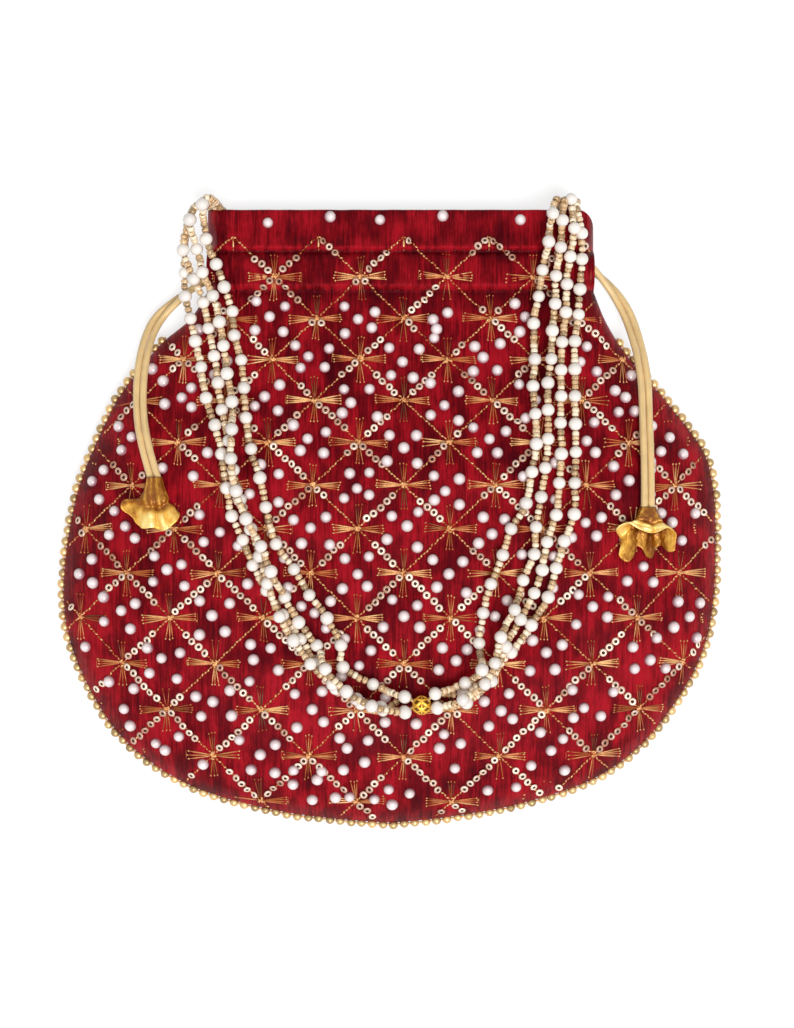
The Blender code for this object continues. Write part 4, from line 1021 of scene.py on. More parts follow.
def strokes(name, side, starts, ends, widths, height, tones, segments, finish, slot, margin=None):
    """Stitches laid on a face: each is a diamond section carried from its start to its end.

    The place across is the line's own normal times the width there, and the height is read off
    the face, so that every stitch follows the cloth. Those within the margin are left out.
    """
    starts, ends = np.asarray(starts, float), np.asarray(ends, float)
    columns = [np.broadcast_to(v, len(starts)) for v in (*widths, height, tones)]
    if margin is not None:
        on = kept(starts, margin) & kept(ends, margin)
        starts, ends, columns = starts[on], ends[on], [v[on] for v in columns]
    w0, w1, tall, tones = (v[:, None] for v in columns)
    u = np.linspace(0, 1, segments + 1)
    taper = np.where((u == 0) | (u == 1), 0.35, 1.0)
    run = ends - starts
    across = left_of(run) / np.linalg.norm(run, axis=1)[:, None]
    line = starts[:, None] + run[:, None] * u[None, :, None]
    half = (w0 + (w1 - w0) * u) * taper / 2
    v = np.array([-1.0, 0.0, 1.0, 0.0])
    h = np.array([0.15, 1.0, 0.15, -0.2])
    flat = line[:, :, None] + across[:, None, None] * (half[:, :, None] * v)[..., None]
    tall = tall[..., None] * taper[None, :, None] * h
    z = np.maximum(face_map(side).height(flat[..., 0], flat[..., 1]) + side * tall, LOWEST)
    points = np.concatenate([flat, z[..., None]], axis=-1).reshape(-1, 3)
    last = segments * 4
    one = np.vstack([grid_quads(segments + 1, 4, True), [[3, 2, 1, 0]],
                     [[last, last + 1, last + 2, last + 3]]])
    quads = repeated(one[:, ::-1] if side > 0 else one, len(starts), last + 4)
    # Painted highlight: each stitch's tone rises by up to 0.16 towards its start, so the star fans
    # are lit where they meet.
    glow = 0.16 * (1 - u)[:, None] * np.ones(4)
    piece(name, points, quads, finish, slot, tones + glow.ravel()[None])


def crossings(first=-1, last=13):
    """Row number, x, y and half period of every crossing of the couched lines."""
    out = []
    for k in range(first, last):
        half = HALF_PERIOD + PERIOD_GROWTH * k
        shift = 0 if k % 2 == 1 else 1
        reach = int(BAG_WIDTH / half)
        for x in LATTICE_X + half * (2 * np.arange(-reach, reach) + shift):
            if abs(x) < BAG_WIDTH * 0.56:
                out.append((k, x, float(row_height(k)), half))
    return np.array(out)


def diagonal_lines():
    """Start and end of every couched line between two neighbouring crossings."""
    c = crossings()
    k = c[:, 0] + 1
    y = row_height(k)
    scale = (HALF_PERIOD + PERIOD_GROWTH * k) / c[:, 3]
    u = (c[:, 1] - LATTICE_X) / c[:, 3]
    starts, ends = [], []
    for step in (-1, 1):
        starts.append(c[:, 1:3])
        ends.append(np.stack([LATTICE_X + (u + step) * c[:, 3] * scale, y], axis=1))
    return np.vstack(starts), np.vstack(ends)


def kept(points, margin):
    """Which flat points lie on the cloth."""
    return inside(points[:, 0], points[:, 1], margin)


def unit(v):
    """Directions of length 1."""
    return v / np.maximum(np.linalg.norm(v, axis=-1, keepdims=True), 1e-12)


def standing(places, side, rng, lean):
    """Three directions for shapes set on a face at flat places: right, forward and outwards."""
    tilt = np.column_stack([rng.normal(0, lean, (len(places), 2)), np.zeros(len(places))])
    n = unit(face_map(side).normal(places[:, 0], places[:, 1]) * side + tilt)
    right = unit(np.cross(np.array([0.0, 1.0, 0.0]), n))
    return right, np.cross(n, right), n


def on_face(places, side, lift):
    """Flat places set at a height over a face."""
    z = face_map(side).height(places[:, 0], places[:, 1]) + side * lift
    return np.column_stack([places[:, :2], np.maximum(z, LOWEST)])


# Places of the sewn half pearls of the front, in mm.
HALF_PEARLS = (
    (-50.5, 81.8), (-39.6, 79.8), (-17.1, 79.8), (-5.5, 77.7), (22, 77.4), (47.5, 80.9),
    (-81.5, 70.1), (-50.9, 70.7), (-45.4, 75.9), (-40.2, 70.1), (-16.8, 69.4), (-11.9, 74.9),
    (-6.7, 71.6), (16.5, 74.7), (17.8, 71.1), (49.3, 70.1), (51.4, 75.8), (-35.6, 64.8),
    (-30.6, 60.5), (-22.8, 63.6), (-0.1, 63.9), (11.2, 63.4), (16.9, 67.7), (32.2, 64.4),
    (35.3, 60.2), (41.8, 65.5), (74.5, 64.4), (-89.9, 56.1), (-33.5, 56.2), (-24.4, 56.5),
    (0.6, 53.4), (4.9, 58.5), (8.9, 52.5), (31.6, 54.9), (40.6, 55.3), (71.9, 58.5),
    (78.1, 54.9), (91.5, 53.6), (-85.5, 51.4), (-78.1, 44.9), (-74.5, 48.6), (-46.9, 45.2),
    (-41.3, 49.7), (-17.1, 48), (-7.5, 48.1), (15.4, 50.4), (25.9, 47.2), (48.8, 49.9),
    (85.1, 47.7), (89.1, 45.2), (-84.6, 42.6), (-74.3, 41.3), (-50.5, 41.6), (-41.8, 39.9),
    (-17.7, 39), (-14.5, 42.9), (-4.5, 37.6), (15.5, 38.2), (20.6, 41.9), (25.9, 36.2),
    (51.1, 37.1), (86.2, 39.5), (92.5, 39.9), (96.2, 39.6), (-102.5, 34.3), (-97.2, 30.2),
    (-36, 34.4), (-30.6, 29.3), (-23.8, 31.8), (-0, 30.6), (10.1, 30.5), (31.4, 33.5),
    (37.4, 29.2), (43.6, 32.1), (73.8, 28.5), (76.8, 35.5), (99, 34.4), (105.9, 30.1),
    (-101.1, 25.3), (-68, 24.1), (-33.3, 24.9), (-24.6, 23.9), (-0.9, 20.9), (5.4, 25.9),
    (10.4, 20.1), (32.8, 24.1), (40.3, 24), (77.1, 24.2), (98.3, 21), (102.3, 24.7), (111, 23.8),
    (-112.6, 13.6), (-108.1, 17.8), (-85.1, 18.4), (-73.3, 15.3), (-41.3, 16.1), (-14.8, 16.3),
    (-7.5, 16.6), (16.6, 15.4), (26.1, 14.2), (50, 15.2), (83.9, 19), (89.7, 13.7), (97.9, 17.7),
    (-109.6, 6.7), (-52.2, 8.7), (-41.4, 5.6), (-16.9, 7.1), (-12.1, 10.7), (-7.6, 8.3),
    (16.8, 6.4), (20.8, 9.7), (26.1, 4.7), (84.6, 8.3), (97.3, 5.5), (97.9, 8.5), (-103.5, 2.3),
    (-99.1, -3.5), (-89, 1.1), (-70.9, 0.9), (-35.8, -1), (-29.4, -4), (-23.7, 0), (0.9, 0.4),
    (6.6, -3.3), (10.7, 1.9), (35, -0), (43, -0.8), (73.2, -2.1), (79.2, -0.1), (101.9, 1.4),
    (106.3, -2), (115.5, 1.4), (-105.5, -6.7), (-95.4, -7.9), (-69.3, -9.2), (-63.2, -5.6),
    (-56.5, -10.7), (-32.8, -9.8), (-22.3, -10.3), (-0.9, -8.3), (10.4, -11.2), (33.3, -9.7),
    (38.3, -6.3), (68, -7.6), (77.3, -7), (110.1, -8.8), (-112.2, -15.9), (-87.9, -14.6),
    (-83.1, -19.6), (-77.6, -17.7), (-16.6, -15.5), (-7.7, -14.7), (16.2, -15.9), (27.4, -16.6),
    (49.4, -13.9), (95.1, -18.5), (-117.3, -21.5), (-111.9, -24.8), (-88.3, -24.1),
    (-76.5, -25.7), (-52.9, -24.9), (-37.9, -26.3), (-17.5, -26.7), (-11.8, -21.3),
    (-8.3, -25.8), (17.7, -26.1), (22.2, -21.2), (88.9, -23.9), (98.9, -24.4), (-107.6, -30.1),
    (-100.6, -35.1), (-95.2, -32.4), (-70.8, -31.3), (-59.6, -32.2), (-22, -31.4), (1.1, -30.8),
    (10.4, -33), (28.7, -28.2), (43.9, -31.1), (70.6, -28.9), (75.9, -33.4), (81.7, -29.7),
    (108.7, -31.8), (117.5, -32.5), (-107.4, -39.3), (-97.1, -41.9), (-70.9, -43.9),
    (-66.2, -36.7), (-61.3, -42.7), (-23.7, -41.5), (-2.3, -41), (5.4, -37), (11.3, -41.1),
    (39.4, -37), (69.7, -40), (81.4, -37.3), (107.1, -41.5), (113.3, -37.6), (-115.1, -49.1),
    (-90.7, -49), (-78.2, -50.7), (-51.8, -47.5), (-44.3, -48.9), (-16.7, -45.4), (-6.9, -49.8),
    (19.8, -48.8), (29, -49.4), (45.8, -49.7), (53.4, -46), (58.5, -50.5), (64.5, -47.7),
    (91.3, -48.7), (100.4, -45.4), (116.3, -45.7), (-90, -58.5), (-85.3, -52.8), (-50.7, -53.2),
    (-41.4, -57.1), (18.4, -57), (24.9, -53.6), (52.5, -57.4), (61.8, -56.9), (92, -56.9),
    (98, -53.7), (104.1, -57), (-106, -62.2), (-96.2, -64.6), (-79.5, -60.5), (-72.4, -67.1),
    (-59.6, -64.8), (-52.2, -61.3), (-35.3, -66), (-25.1, -65), (26.8, -64.2), (44.7, -65.9),
    (68.4, -64.6), (84, -65.6), (-100.3, -72.5), (-70.5, -74.6), (-66, -69), (-59.1, -74.3),
    (-28.8, -71.8), (35.4, -68.8), (41.7, -72.4), (46.1, -75.5), (69, -75.2), (72.9, -71.5),
    (79.4, -74.7), (-98.1, -79), (-79.3, -82.6), (-56.3, -83.6), (-34.6, -78.7), (-24.6, -76.5),
    (-18.6, -82.7), (-8, -83.6), (-1.6, -76.6), (10, -77.2), (20.4, -81.2), (37.2, -78.2),
    (56.6, -80.7), (65.2, -83.3), (-88.3, -85.5), (-84.8, -88.1), (-48.5, -89.2), (-42.8, -85.3),
    (-15.9, -86.6), (-9.3, -91.9), (18.8, -86.6), (26.7, -84.8), (60.8, -87.8), (-70.4, -93.4),
    (-52.1, -95.1), (-43.1, -96.2), (-36, -95.2), (-27.2, -98.9), (-25.5, -95.6), (-17.3, -95),
    (24.6, -94.4), (53.4, -93.6), (66.2, -95.7), (-36.4, -100.8), (-29.2, -106.9), (-20.4, -106),
    (-15.1, -105.7), (-5.7, -106.6), (-0.3, -102.6), (7.6, -104.2), (37.1, -103.2),
    (47.9, -102.1), (1, -108.7),
)
FRILL_PEARLS = ((-46.1, 111.5), (-22.5, 113.8), (-3.6, 112.7), (20.2, 114.1), (49.6, 112.7))


class POTLI_OT_embroidery(bpy.types.Operator):
    """Couched lines, stars, ring sequins and half pearls on both faces"""
    bl_idname = "potli.embroidery"
    bl_label = "Embroidery"

    def execute(self, context):
        work = context.scene.potli_embroidery
        for side, name in ((1, "front"), (-1, "back")):
            rng = np.random.default_rng(20 + side)
            self.stars(name, side, rng)
            runs = self.runs(rng, work)
            self.couching(name, side, rng, work)
            self.sequins(name, side, rng, work, runs)
            self.half_pearls(name, side, rng, work)
        return {"FINISHED"}

    def stars(self, name, side, rng):
        """At each crossing four fans of threads, an end stitch here and there, and a knot."""
        laid = []

        def lay(start, end, start_width, end_width, height, tone):
            laid.append((*start, *end, start_width * MM, end_width * MM, height * MM, tone))

        for _, x, y, _ in crossings(0):
            centre = np.array([x, y])
            for angle, reach, count, spread, tip_width, tone in STAR_FANS:
                a = math.radians(angle + rng.normal(0, 2.0))
                out = np.array([math.cos(a), math.sin(a)])
                across = left_of(out)
                fan_tone = tone + rng.normal(0, 0.13) + (0.28 if rng.random() < 0.14 else 0.0)
                reach = reach * rng.uniform(0.90, 1.06)
                if rng.random() < 0.15:
                    count -= 1
                for v in np.linspace(-1, 1, count):
                    far = reach * rng.uniform(0.95, 1.03) * MM
                    wide = v * spread * rng.uniform(0.8, 1.15) * MM
                    start = centre + out * 0.8 * MM + across * v * 0.25 * MM
                    end = centre + out * far + across * wide
                    lay(start, end, 0.5, tip_width, 0.32, fan_tone + rng.normal(0, 0.13))
                    lay(end - out * 0.45 * MM, end + out * 0.35 * MM, 0.7, 0.7, 0.42,
                        min(1.0, fan_tone + 0.28))
                if angle in (0, 180) and rng.random() < 0.5:
                    tip = centre + out * (reach + 0.5) * MM
                    lay(tip + across * rng.uniform(1.2, 2.4) * MM,
                        tip - across * rng.uniform(1.6, 3.2) * MM, 0.2, 0.2, 0.16, 0.45)
            for _ in range(KNOT_STITCHES):
                a = rng.uniform(0, 2 * math.pi)
                middle = centre + rng.uniform(0, 1.4) * MM * np.array([math.cos(a), math.sin(a)])
                b = rng.uniform(0, math.pi)
                half = rng.uniform(0.5, 0.95) * MM * np.array([math.cos(b), math.sin(b)])
                lay(middle - half, middle + half, 0.75, 0.75, rng.uniform(0.5, 0.8),
                    rng.uniform(0.5, 1.0))
        for _, x, y, _ in crossings(-1, 0):
            lay((x, y - 1.0 * MM), (x, y - 5.4 * MM), 0.9, 0.7, 0.5, 0.95)
        laid = np.array(laid)
        strokes(f"{name}_stars", side, laid[:, :2], laid[:, 2:4], laid[:, 4:6].T, laid[:, 6],
                laid[:, 7], 3 if side > 0 else 2, gold_thread(), "gilt_beads", 1.2 * MM)

    def couching(self, name, side, rng, work):
        """Twisted chain stitches along each couched line, one to a pitch, alternately askew."""
        starts, ends, tones = [], [], []
        for a, b in zip(*diagonal_lines()):
            size = np.linalg.norm(b - a)
            out = (b - a) / size
            across = left_of(out)
            count = int(size / work.stitch_pitch)
            even = np.arange(count) % 2 == 0
            middle = a + (b - a) * ((np.arange(count) + 0.5) / count)[:, None]
            middle = middle + across * rng.normal(0, 0.12 * MM, count)[:, None]
            turn = np.where(even, 0.34, -0.26) + rng.normal(0, 0.12, count)
            lay = (out * np.cos(turn)[:, None] + across * np.sin(turn)[:, None]) * 0.66 * MM
            starts.append(middle - lay)
            ends.append(middle + lay)
            tones.append(np.clip(rng.normal(0.68, 0.12) + np.where(even, 0.16, -0.16)
                                 + rng.normal(0, 0.2, count), 0, 1))
        strokes(f"{name}_couching", side, np.vstack(starts), np.vstack(ends),
                (0.84 * MM, 0.84 * MM), 0.5 * MM, np.concatenate(tones), 2, gold_thread(),
                "gilt_beads", 0.8 * MM)

    def runs(self, rng, work):
        """Places of the ring sequins: a run of them on most couched lines, longer lower down."""
        places, bright = [], []
        for a, b in zip(*diagonal_lines()):
            size = np.linalg.norm(b - a)
            out = (b - a) / size
            low = np.clip((LOWER_STITCH_Y - a[1]) / BODY_HEIGHT, 0, 1)
            slots = int((size - 2.2 * MM) / work.sequin_pitch)
            bare = rng.random() < 0.14
            count = 0 if bare else int(np.clip(rng.normal(3.4 + 3.2 * low, 1.7), 1, slots))
            first = 0 if rng.random() < 0.45 else max(0, slots - count)
            s = 2.4 * MM + (first + np.arange(count)) * work.sequin_pitch
            s = s + rng.normal(0, 0.12 * MM, count)
            off = rng.normal(0, 0.22 * MM, count)[:, None] * left_of(b - a) / size
            places.append(a + out * s[:, None] + off)
            bright.append(np.clip(rng.normal(0.5 + 0.3 * low, 0.2) + rng.normal(0, 0.2, count),
                                  0, 1))
        places, bright = np.vstack(places), np.concatenate(bright)
        on = kept(places, 2.0 * MM)
        return places[on], bright[on]

    def sequins(self, name, side, rng, work, runs):
        """Flat rings with a raised inner edge, each slightly tilted, and a dark knot in each hole,
        partly a thread knot and partly painted shade of the hole.
        """
        places, bright = runs
        outer, hole = work.sequin / 2, work.sequin_hole / 2
        profile = [(outer, 0.0), (outer * 0.97, 0.16 * MM), ((outer + hole) / 2, 0.36 * MM),
                   (hole * 1.15, 0.42 * MM), (hole, 0.30 * MM), (hole, 0.0)]
        if side < 0:
            profile = [profile[i] for i in (0, 2, 4, 5)]
        shape, quads = turned(profile, 11 if side > 0 else 8, True)
        axes = standing(places, side, rng, 0.20)
        points, faces = stamped(shape, quads, on_face(places, side, 0.45 * MM), *axes,
                                rng.uniform(0.95, 1.05, len(places)))
        points[:, 2] = np.maximum(points[:, 2], LOWEST)
        piece(f"{name}_sequins", points, faces, sequin_finish(), "gilt_beads",
              np.repeat(bright, len(shape)))
        # Knots in the holes: a thread knot, coloured near black as painted shade of the hole.
        dome, quads = ball(6, 3, 0.0)
        points, faces = stamped(dome * [1, 1, 0.4], quads, on_face(places, side, 0.3 * MM), *axes,
                                hole * 0.92)
        piece(f"{name}_sequin_knots_shade", points, faces, knot_shade_finish(), "brocade")

    def half_pearls(self, name, side, rng, work):
        """Domes in a loose five of dice in each diamond, flatter on the back, which is lain on."""
        places = []
        for row, x, y, half in crossings():
            shift = rng.normal(0, 0.9, 2) * MM
            turn = rng.normal(0, 0.16)
            spin = np.array([[math.cos(turn), -math.sin(turn)], [math.sin(turn), math.cos(turn)]])
            group = (np.array(FIVE_OF_DICE) * MM) @ spin.T + rng.normal(0, 0.85, (5, 2)) * MM
            group = group + shift + (x + half, y)
            if rng.random() < 0.3:
                group = np.delete(group, rng.integers(5), axis=0)
            if row >= 0:
                places.append(group)
        places = np.vstack(places)
        low = places[:, 1] < LOWER_STITCH_Y - 1.5 * MM
        places = places[low & kept(places, 4.2 * MM)]
        sides, rings, flat = (14, 7, 0.86) if side > 0 else (10, 5, 0.5)
        if side > 0:
            places = np.vstack([np.array(HALF_PEARLS) * MM, self.hidden(places)])
            places = places[kept(places, 2.6 * MM)]
            places = np.vstack([places, np.array(FRILL_PEARLS) * MM])
        shape, quads = ball(sides, rings, math.radians(-14))
        shape = shape * [1, 1, flat]
        sizes = work.half_pearl / 2 * rng.uniform(0.93, 1.06, len(places))
        points, faces = stamped(shape, quads, on_face(places, side, 0.25 * MM),
                                *standing(places, side, rng, 0.05), sizes)
        points[:, 2] = np.maximum(points[:, 2], LOWEST)
        # Tone 0 at each dome's rim and 1 at its top: painted shade towards the rim and a painted
        # highlight at the crown, plus a little random tone per pearl.
        crown = 1 - np.clip(np.linalg.norm(shape[:, :2], axis=1), 0, 1)
        tone = (rng.uniform(-0.1, 0.1, len(places))[:, None] + crown).ravel()
        piece(f"{name}_half_pearls", points, faces, half_pearl_finish(), "pearls", tone)

    def hidden(self, places):
        """The pearls that lie under the handle, where no measured one is near."""
        under, clear = (np.linalg.norm(places[:, None] - near[None], axis=2).min(axis=1)
                        for near in (handle_pearls()[:, :2], np.array(HALF_PEARLS) * MM))
        return places[(under > 3.4 * MM) & (under < 7.5 * MM) & (clear > 7.0 * MM)]


class POTLI_OT_stitching(bpy.types.Operator):
    """The two rows of machine stitches that make the channel, on both faces"""
    bl_idname = "potli.stitching"
    bl_label = "Casing stitches"

    def execute(self, context):
        xs = np.arange(NECK_LEFT + 3 * MM, NECK_LEFT + 3 * MM + NECK_WIDTH - 8 * MM, 3.1 * MM)
        sway = waves(xs, 9, 20 * MM, 60 * MM, 4) * 0.15 * MM
        starts = np.vstack([np.stack([xs, y + sway], axis=1)
                            for y in (LOWER_STITCH_Y, UPPER_STITCH_Y)])
        for side, name in ((1, "front"), (-1, "back")):
            strokes(f"{name}_stitching", side, starts, starts + (2.3 * MM, 0), (0.3 * MM, 0.3 * MM),
                    0.2 * MM, 0.5, 3, red_thread(), "brocade")
        return {"FINISHED"}


# Edging, handle and cords.

class POTLI_OT_edging(bpy.types.Operator):
    """Ball beads on a thread along the seam"""
    bl_idname = "potli.edging"
    bl_label = "Bead edging"

    def execute(self, context):
        beads = context.scene.potli_beads
        line = SEAM
        start_y = LOWER_STITCH_Y - EDGE_START * BODY_HEIGHT
        first = np.argmax(line[:, 1] < start_y)
        last = len(line) - np.argmax(line[::-1, 1] < start_y)
        line = line[first:last]
        run = unit(np.gradient(line, axis=0))
        out = line - left_of(run) * (EDGE_BEAD / 2 + GAP - EDGE_OVERLAP)
        size = along(out)[-1]
        count = int(size / EDGE_PITCH)
        rng = np.random.default_rng(4)
        s = (np.arange(count) + 0.5) * size / count
        flat = at_distances(out, s) + rng.normal(0, 0.12 * MM, (count, 2))
        places = np.column_stack([flat, np.full(count, SEAM_Z) + rng.normal(0, 0.12 * MM, count)])
        shape, quads = ball(12, 9)
        axes = unit(rng.normal(size=(count, 3)))
        right = unit(np.cross(axes, [0.3, 0.2, 1.0]))
        sizes = beads.edge_bead / 2 * rng.uniform(0.95, 1.05, count)
        points, faces = stamped(shape, quads, places, right, np.cross(axes, right), axes, sizes)
        tone = np.repeat(rng.uniform(0, 1, count), len(shape))
        obj = piece("edging_beads", points, faces, antique_gold(), "gilt_beads", tone)
        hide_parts("bead_edging")
        fine = np.linspace(0, size, count * 4)
        path = np.column_stack([at_distances(out, fine), np.full(len(fine), SEAM_Z)])
        points, quads, _ = tube(path, EDGE_THREAD / 2, 6)
        piece("edging_thread", points, capped(len(path), 6, quads), gold_thread(), "gilt_beads",
              np.full(len(points), EDGE_THREAD_TONE))
        return {"FINISHED"}


def eased(heights, reach):
    """The highest value near each point, then the mean of those: nothing ends lower."""
    window = np.arange(len(heights))[:, None] + np.arange(2 * reach + 1)
    high = np.pad(heights, reach, mode="edge")[window].max(axis=1)
    return np.pad(high, reach, mode="edge")[window].mean(axis=1)


def draped_height(flat, radius, clearance):
    """Height of something round lying over the front: the highest ground near it, smoothed."""
    x, y = flat[:, 0], flat[:, 1]
    d = seam_distance(x, y)
    xl, xr = side_edges(np.minimum(y, TOP_Y))
    off = (x < xl) | (x > xr) | (y > TOP_Y)
    beside = FRONT_CHANNEL_Z + CASING_DEPTH / 2 - DRAPE_SLOPE * d
    over = np.maximum(front_height(x, y), np.where(d < NECK_ROUNDING, beside, 0))
    step = np.median(np.linalg.norm(np.diff(flat, axis=0), axis=1))
    reach = max(1, int(round(DRAPE_REACH / step)))
    return eased(np.where(off, beside, over), reach) + radius + clearance + RIDGE_HEIGHT


def spaced_profile(s, stops):
    """The strand's radius along its length: a pearl's round at each stop, else a seed bead's."""
    gap = np.abs(s[:, None] - stops[None]).min(axis=1)
    return np.maximum(np.sqrt(np.maximum(PEARL_ROUND ** 2 - gap ** 2, 0)), SEED_ROUND)


def relaxed(path, reach, times):
    """A path made smoother by running means, its two ends kept in place."""
    for _ in range(times):
        before = 2 * path[0] - path[reach:0:-1]
        after = 2 * path[-1] - path[-2:-reach - 2:-1]
        long = np.vstack([before, path, after])
        window = np.arange(len(path))[:, None] + np.arange(2 * reach + 1)
        path = long[window].mean(axis=1)
    return path


STRANDS = {}


def strands():
    """Path and pearl places of each strand, as they pile on the bag and on one another.

    Each runs through its pearls' places. Its height is the front's, or that of a strand laid
    before it plus the height of one round thing resting on another.
    """
    if STRANDS:
        return STRANDS
    bead = np.array(FILIGREE_PLACE) * MM
    laid = np.zeros((0, 4))
    for number in (3, 2, 1, 0):
        left, pearls, right = LEFT_TAILS[number], HANDLE_PEARLS[number], RIGHT_TAILS[number]
        flat = spline(np.array([*left, *pearls, *right]) * MM, ROUTE_STEPS)
        place = (len(left) + np.arange(len(pearls))) * ROUTE_STEPS
        fine = np.linspace(0, along(flat)[-1], STRAND_SAMPLES)
        line = at_distances(flat, fine)
        stops = along(flat)[place]
        radius = spaced_profile(fine, stops)
        raised = draped_height(line, 0.0, STRAND_CLEARANCE) + STRAND_LIFT
        from_end = np.minimum(fine, fine[-1] - fine)
        out = smoothstep((from_end - MOUTH_RUN) / MOUTH_RISE)
        if len(laid):
            apart = np.hypot(line[:, None, 0] - laid[None, :, 0],
                             line[:, None, 1] - laid[None, :, 1])
            reach = radius[:, None] + laid[None, :, 3] + 0.05 * MM
            over = laid[None, :, 2] + np.sqrt(np.maximum(reach ** 2 - apart ** 2, 0))
            over = np.where(apart < reach, over, 0).max(axis=1)
            raised = np.maximum(raised, np.where(out > 0.5, over, 0))
        mouth = CHANNEL_MIDDLE_Z + (1.5 - number) * 0.75 * STRAND_THREAD
        z = eased(raised, 5) * out + mouth * (1 - out)
        near = np.linalg.norm(line - bead, axis=1)
        pull = smoothstep(1 - (near - CENTRE_BEAD_LENGTH / 2) / GATHER_REACH)
        row, tier = ((0.5, 1), (-0.5, 1), (-0.5, -1), (0.5, -1))[number]
        line[:, 1] = line[:, 1] * (1 - pull) + (bead[1] + row * STRAND_THREAD * 1.5) * pull
        z = z * (1 - pull) + (FILIGREE_Z + tier * 0.75 * STRAND_THREAD) * pull
        path = np.column_stack([line, z])
        laid = np.vstack([laid, np.column_stack([path, radius])])
        STRANDS[number] = (path, np.interp(stops, fine, along(path)))
    return STRANDS


def handle_pearls():
    """Centres of all the handle's pearls."""
    return np.vstack([at_distances(path, stops) for path, stops in strands().values()])


class POTLI_OT_handle(bpy.types.Operator):
    """Four strands of pearls and seed beads, and the filigree bead that gathers them"""
    bl_idname = "potli.handle"
    bl_label = "Handle"

    def execute(self, context):
        beads = context.scene.potli_beads
        finishes = [ivory_pearl(), seed_bead(), bead_thread()]
        bead = self.filigree()
        for number in range(4):
            self.strand(number, beads, finishes, bead)
        return {"FINISHED"}

    def seed_places(self, s, stops, bead_at, beads):
        """Distances of the seed beads: as many between two pearls as fit, evenly spread."""
        places = []
        edges = np.concatenate([[THREAD_END], stops, [s[-1] - THREAD_END]])
        for a, b in zip(edges[:-1], edges[1:]):
            start = a + (beads.pearl / 2 if a in stops else 0.0)
            end = b - (beads.pearl / 2 if b in stops else 0.0)
            if end - start < beads.seed_length * 0.8 or start < bead_at < end:
                continue
            count = max(1, int((end - start) / beads.seed_length + 0.35))
            places.append(start + (np.arange(count) + 0.5) * (end - start) / count)
        return np.concatenate(places)

    def strand(self, number, beads, finishes, bead):
        """Balls for the pearls, short barrels for the seed beads between, and the thread."""
        path, stops = strands()[number]
        at = at_distances(path, stops)
        rng = np.random.default_rng(50 + number)
        run, side, up = frames(path)
        s = along(path)
        round_shape, round_quads = ball(14, 10)
        axes = [unit(read_along(s, v, stops)) for v in (side, up, run)]
        sizes = beads.pearl / 2 * rng.uniform(0.95, 1.05, len(at))
        pearl = stamped(round_shape * [1, 1, 0.97], round_quads, at, *axes, sizes)
        bead_at = s[np.argmin(np.abs(path[:, 0] - FILIGREE_PLACE[0] * MM) + (path[:, 1] > 0))]
        seeds_at = self.seed_places(s, stops, bead_at, beads)
        r, h = beads.seed / 2, beads.seed_length / 2
        profile = [(0.42 * r, -h * 0.82), (0.8 * r, -h), (r, -h * 0.45), (r, h * 0.45),
                   (0.8 * r, h), (0.42 * r, h * 0.82)]
        barrel, barrel_quads = turned(profile, 11, True)
        axes = [unit(read_along(s, v, seeds_at)) for v in (side, up, run)]
        places = at_distances(path, seeds_at) + rng.normal(0, 0.14 * MM, (len(seeds_at), 3))
        seed = stamped(barrel, barrel_quads, places, *axes, rng.uniform(0.93, 1.05, len(places)))
        thread = tube(path, STRAND_THREAD / 2, 6)
        points = np.vstack([pearl[0], seed[0], thread[0]])
        n, m = len(pearl[0]), len(pearl[0]) + len(seed[0])
        first_end = np.array([(3, 2, 1, 0), (5, 4, 3, 0)]) + m
        last_end = np.array([(0, 1, 2, 3), (0, 3, 4, 5)]) + m + len(thread[0]) - 6
        faces = np.vstack([pearl[1], seed[1] + n, thread[1] + m, first_end, last_end])
        index = np.concatenate([np.zeros(len(pearl[1])), np.ones(len(seed[1])),
                                np.full(len(thread[1]) + 4, 2)])
        tone = np.concatenate([np.repeat(rng.uniform(0, 1, len(at)), len(round_shape)),
                               np.repeat(rng.uniform(0, 1, len(places)), len(barrel)),
                               np.full(len(thread[0]), THREAD_TONE)])
        obj = piece(f"bead_strand_{number + 1}", points, faces, finishes, "pearls", tone,
                    indices=index)
        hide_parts(f"handle_strand_{number + 1}")

    def filigree(self):
        """A ball of wire: its radius swells along two crossed spirals and at the two collars."""
        place = np.array([FILIGREE_PLACE[0] * MM, FILIGREE_PLACE[1] * MM, FILIGREE_Z])
        rows, sides = 41, 72
        lat = np.linspace(-1.12, 1.12, rows)[:, None]
        lon = 2 * math.pi * np.arange(sides)[None] / sides
        wire = np.maximum(np.cos(6 * lon + 5 * lat), np.cos(6 * lon - 5 * lat))
        wire = np.maximum(smoothstep((wire - 0.3) / 0.5), smoothstep((np.abs(lat) - 0.92) / 0.1))
        wire = np.maximum(wire, smoothstep(1 - np.abs(np.abs(lat) - 0.02) / 0.1))
        r = CENTRE_BEAD / 2 * (0.93 + 0.10 * wire)
        x = r * np.sin(lat) * 1.05
        ring = r * np.cos(lat)
        x = np.vstack([x, x[[-1, 0]]])
        ring = np.vstack([ring, np.full((2, sides), SEED_ROUND)])
        points = np.stack([x, ring * np.cos(lon), ring * np.sin(lon)], axis=-1).reshape(-1, 3)
        # The tone is the wire mask: low in the openings, which the finish paints dark as painted
        # shade.
        obj = piece("filigree_bead", points + place, grid_quads(rows + 2, sides, True, True),
                    filigree_gold(), "filigree", np.vstack([wire, np.full((2, sides), 0.4)]))
        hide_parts("centre_bead")
        return obj


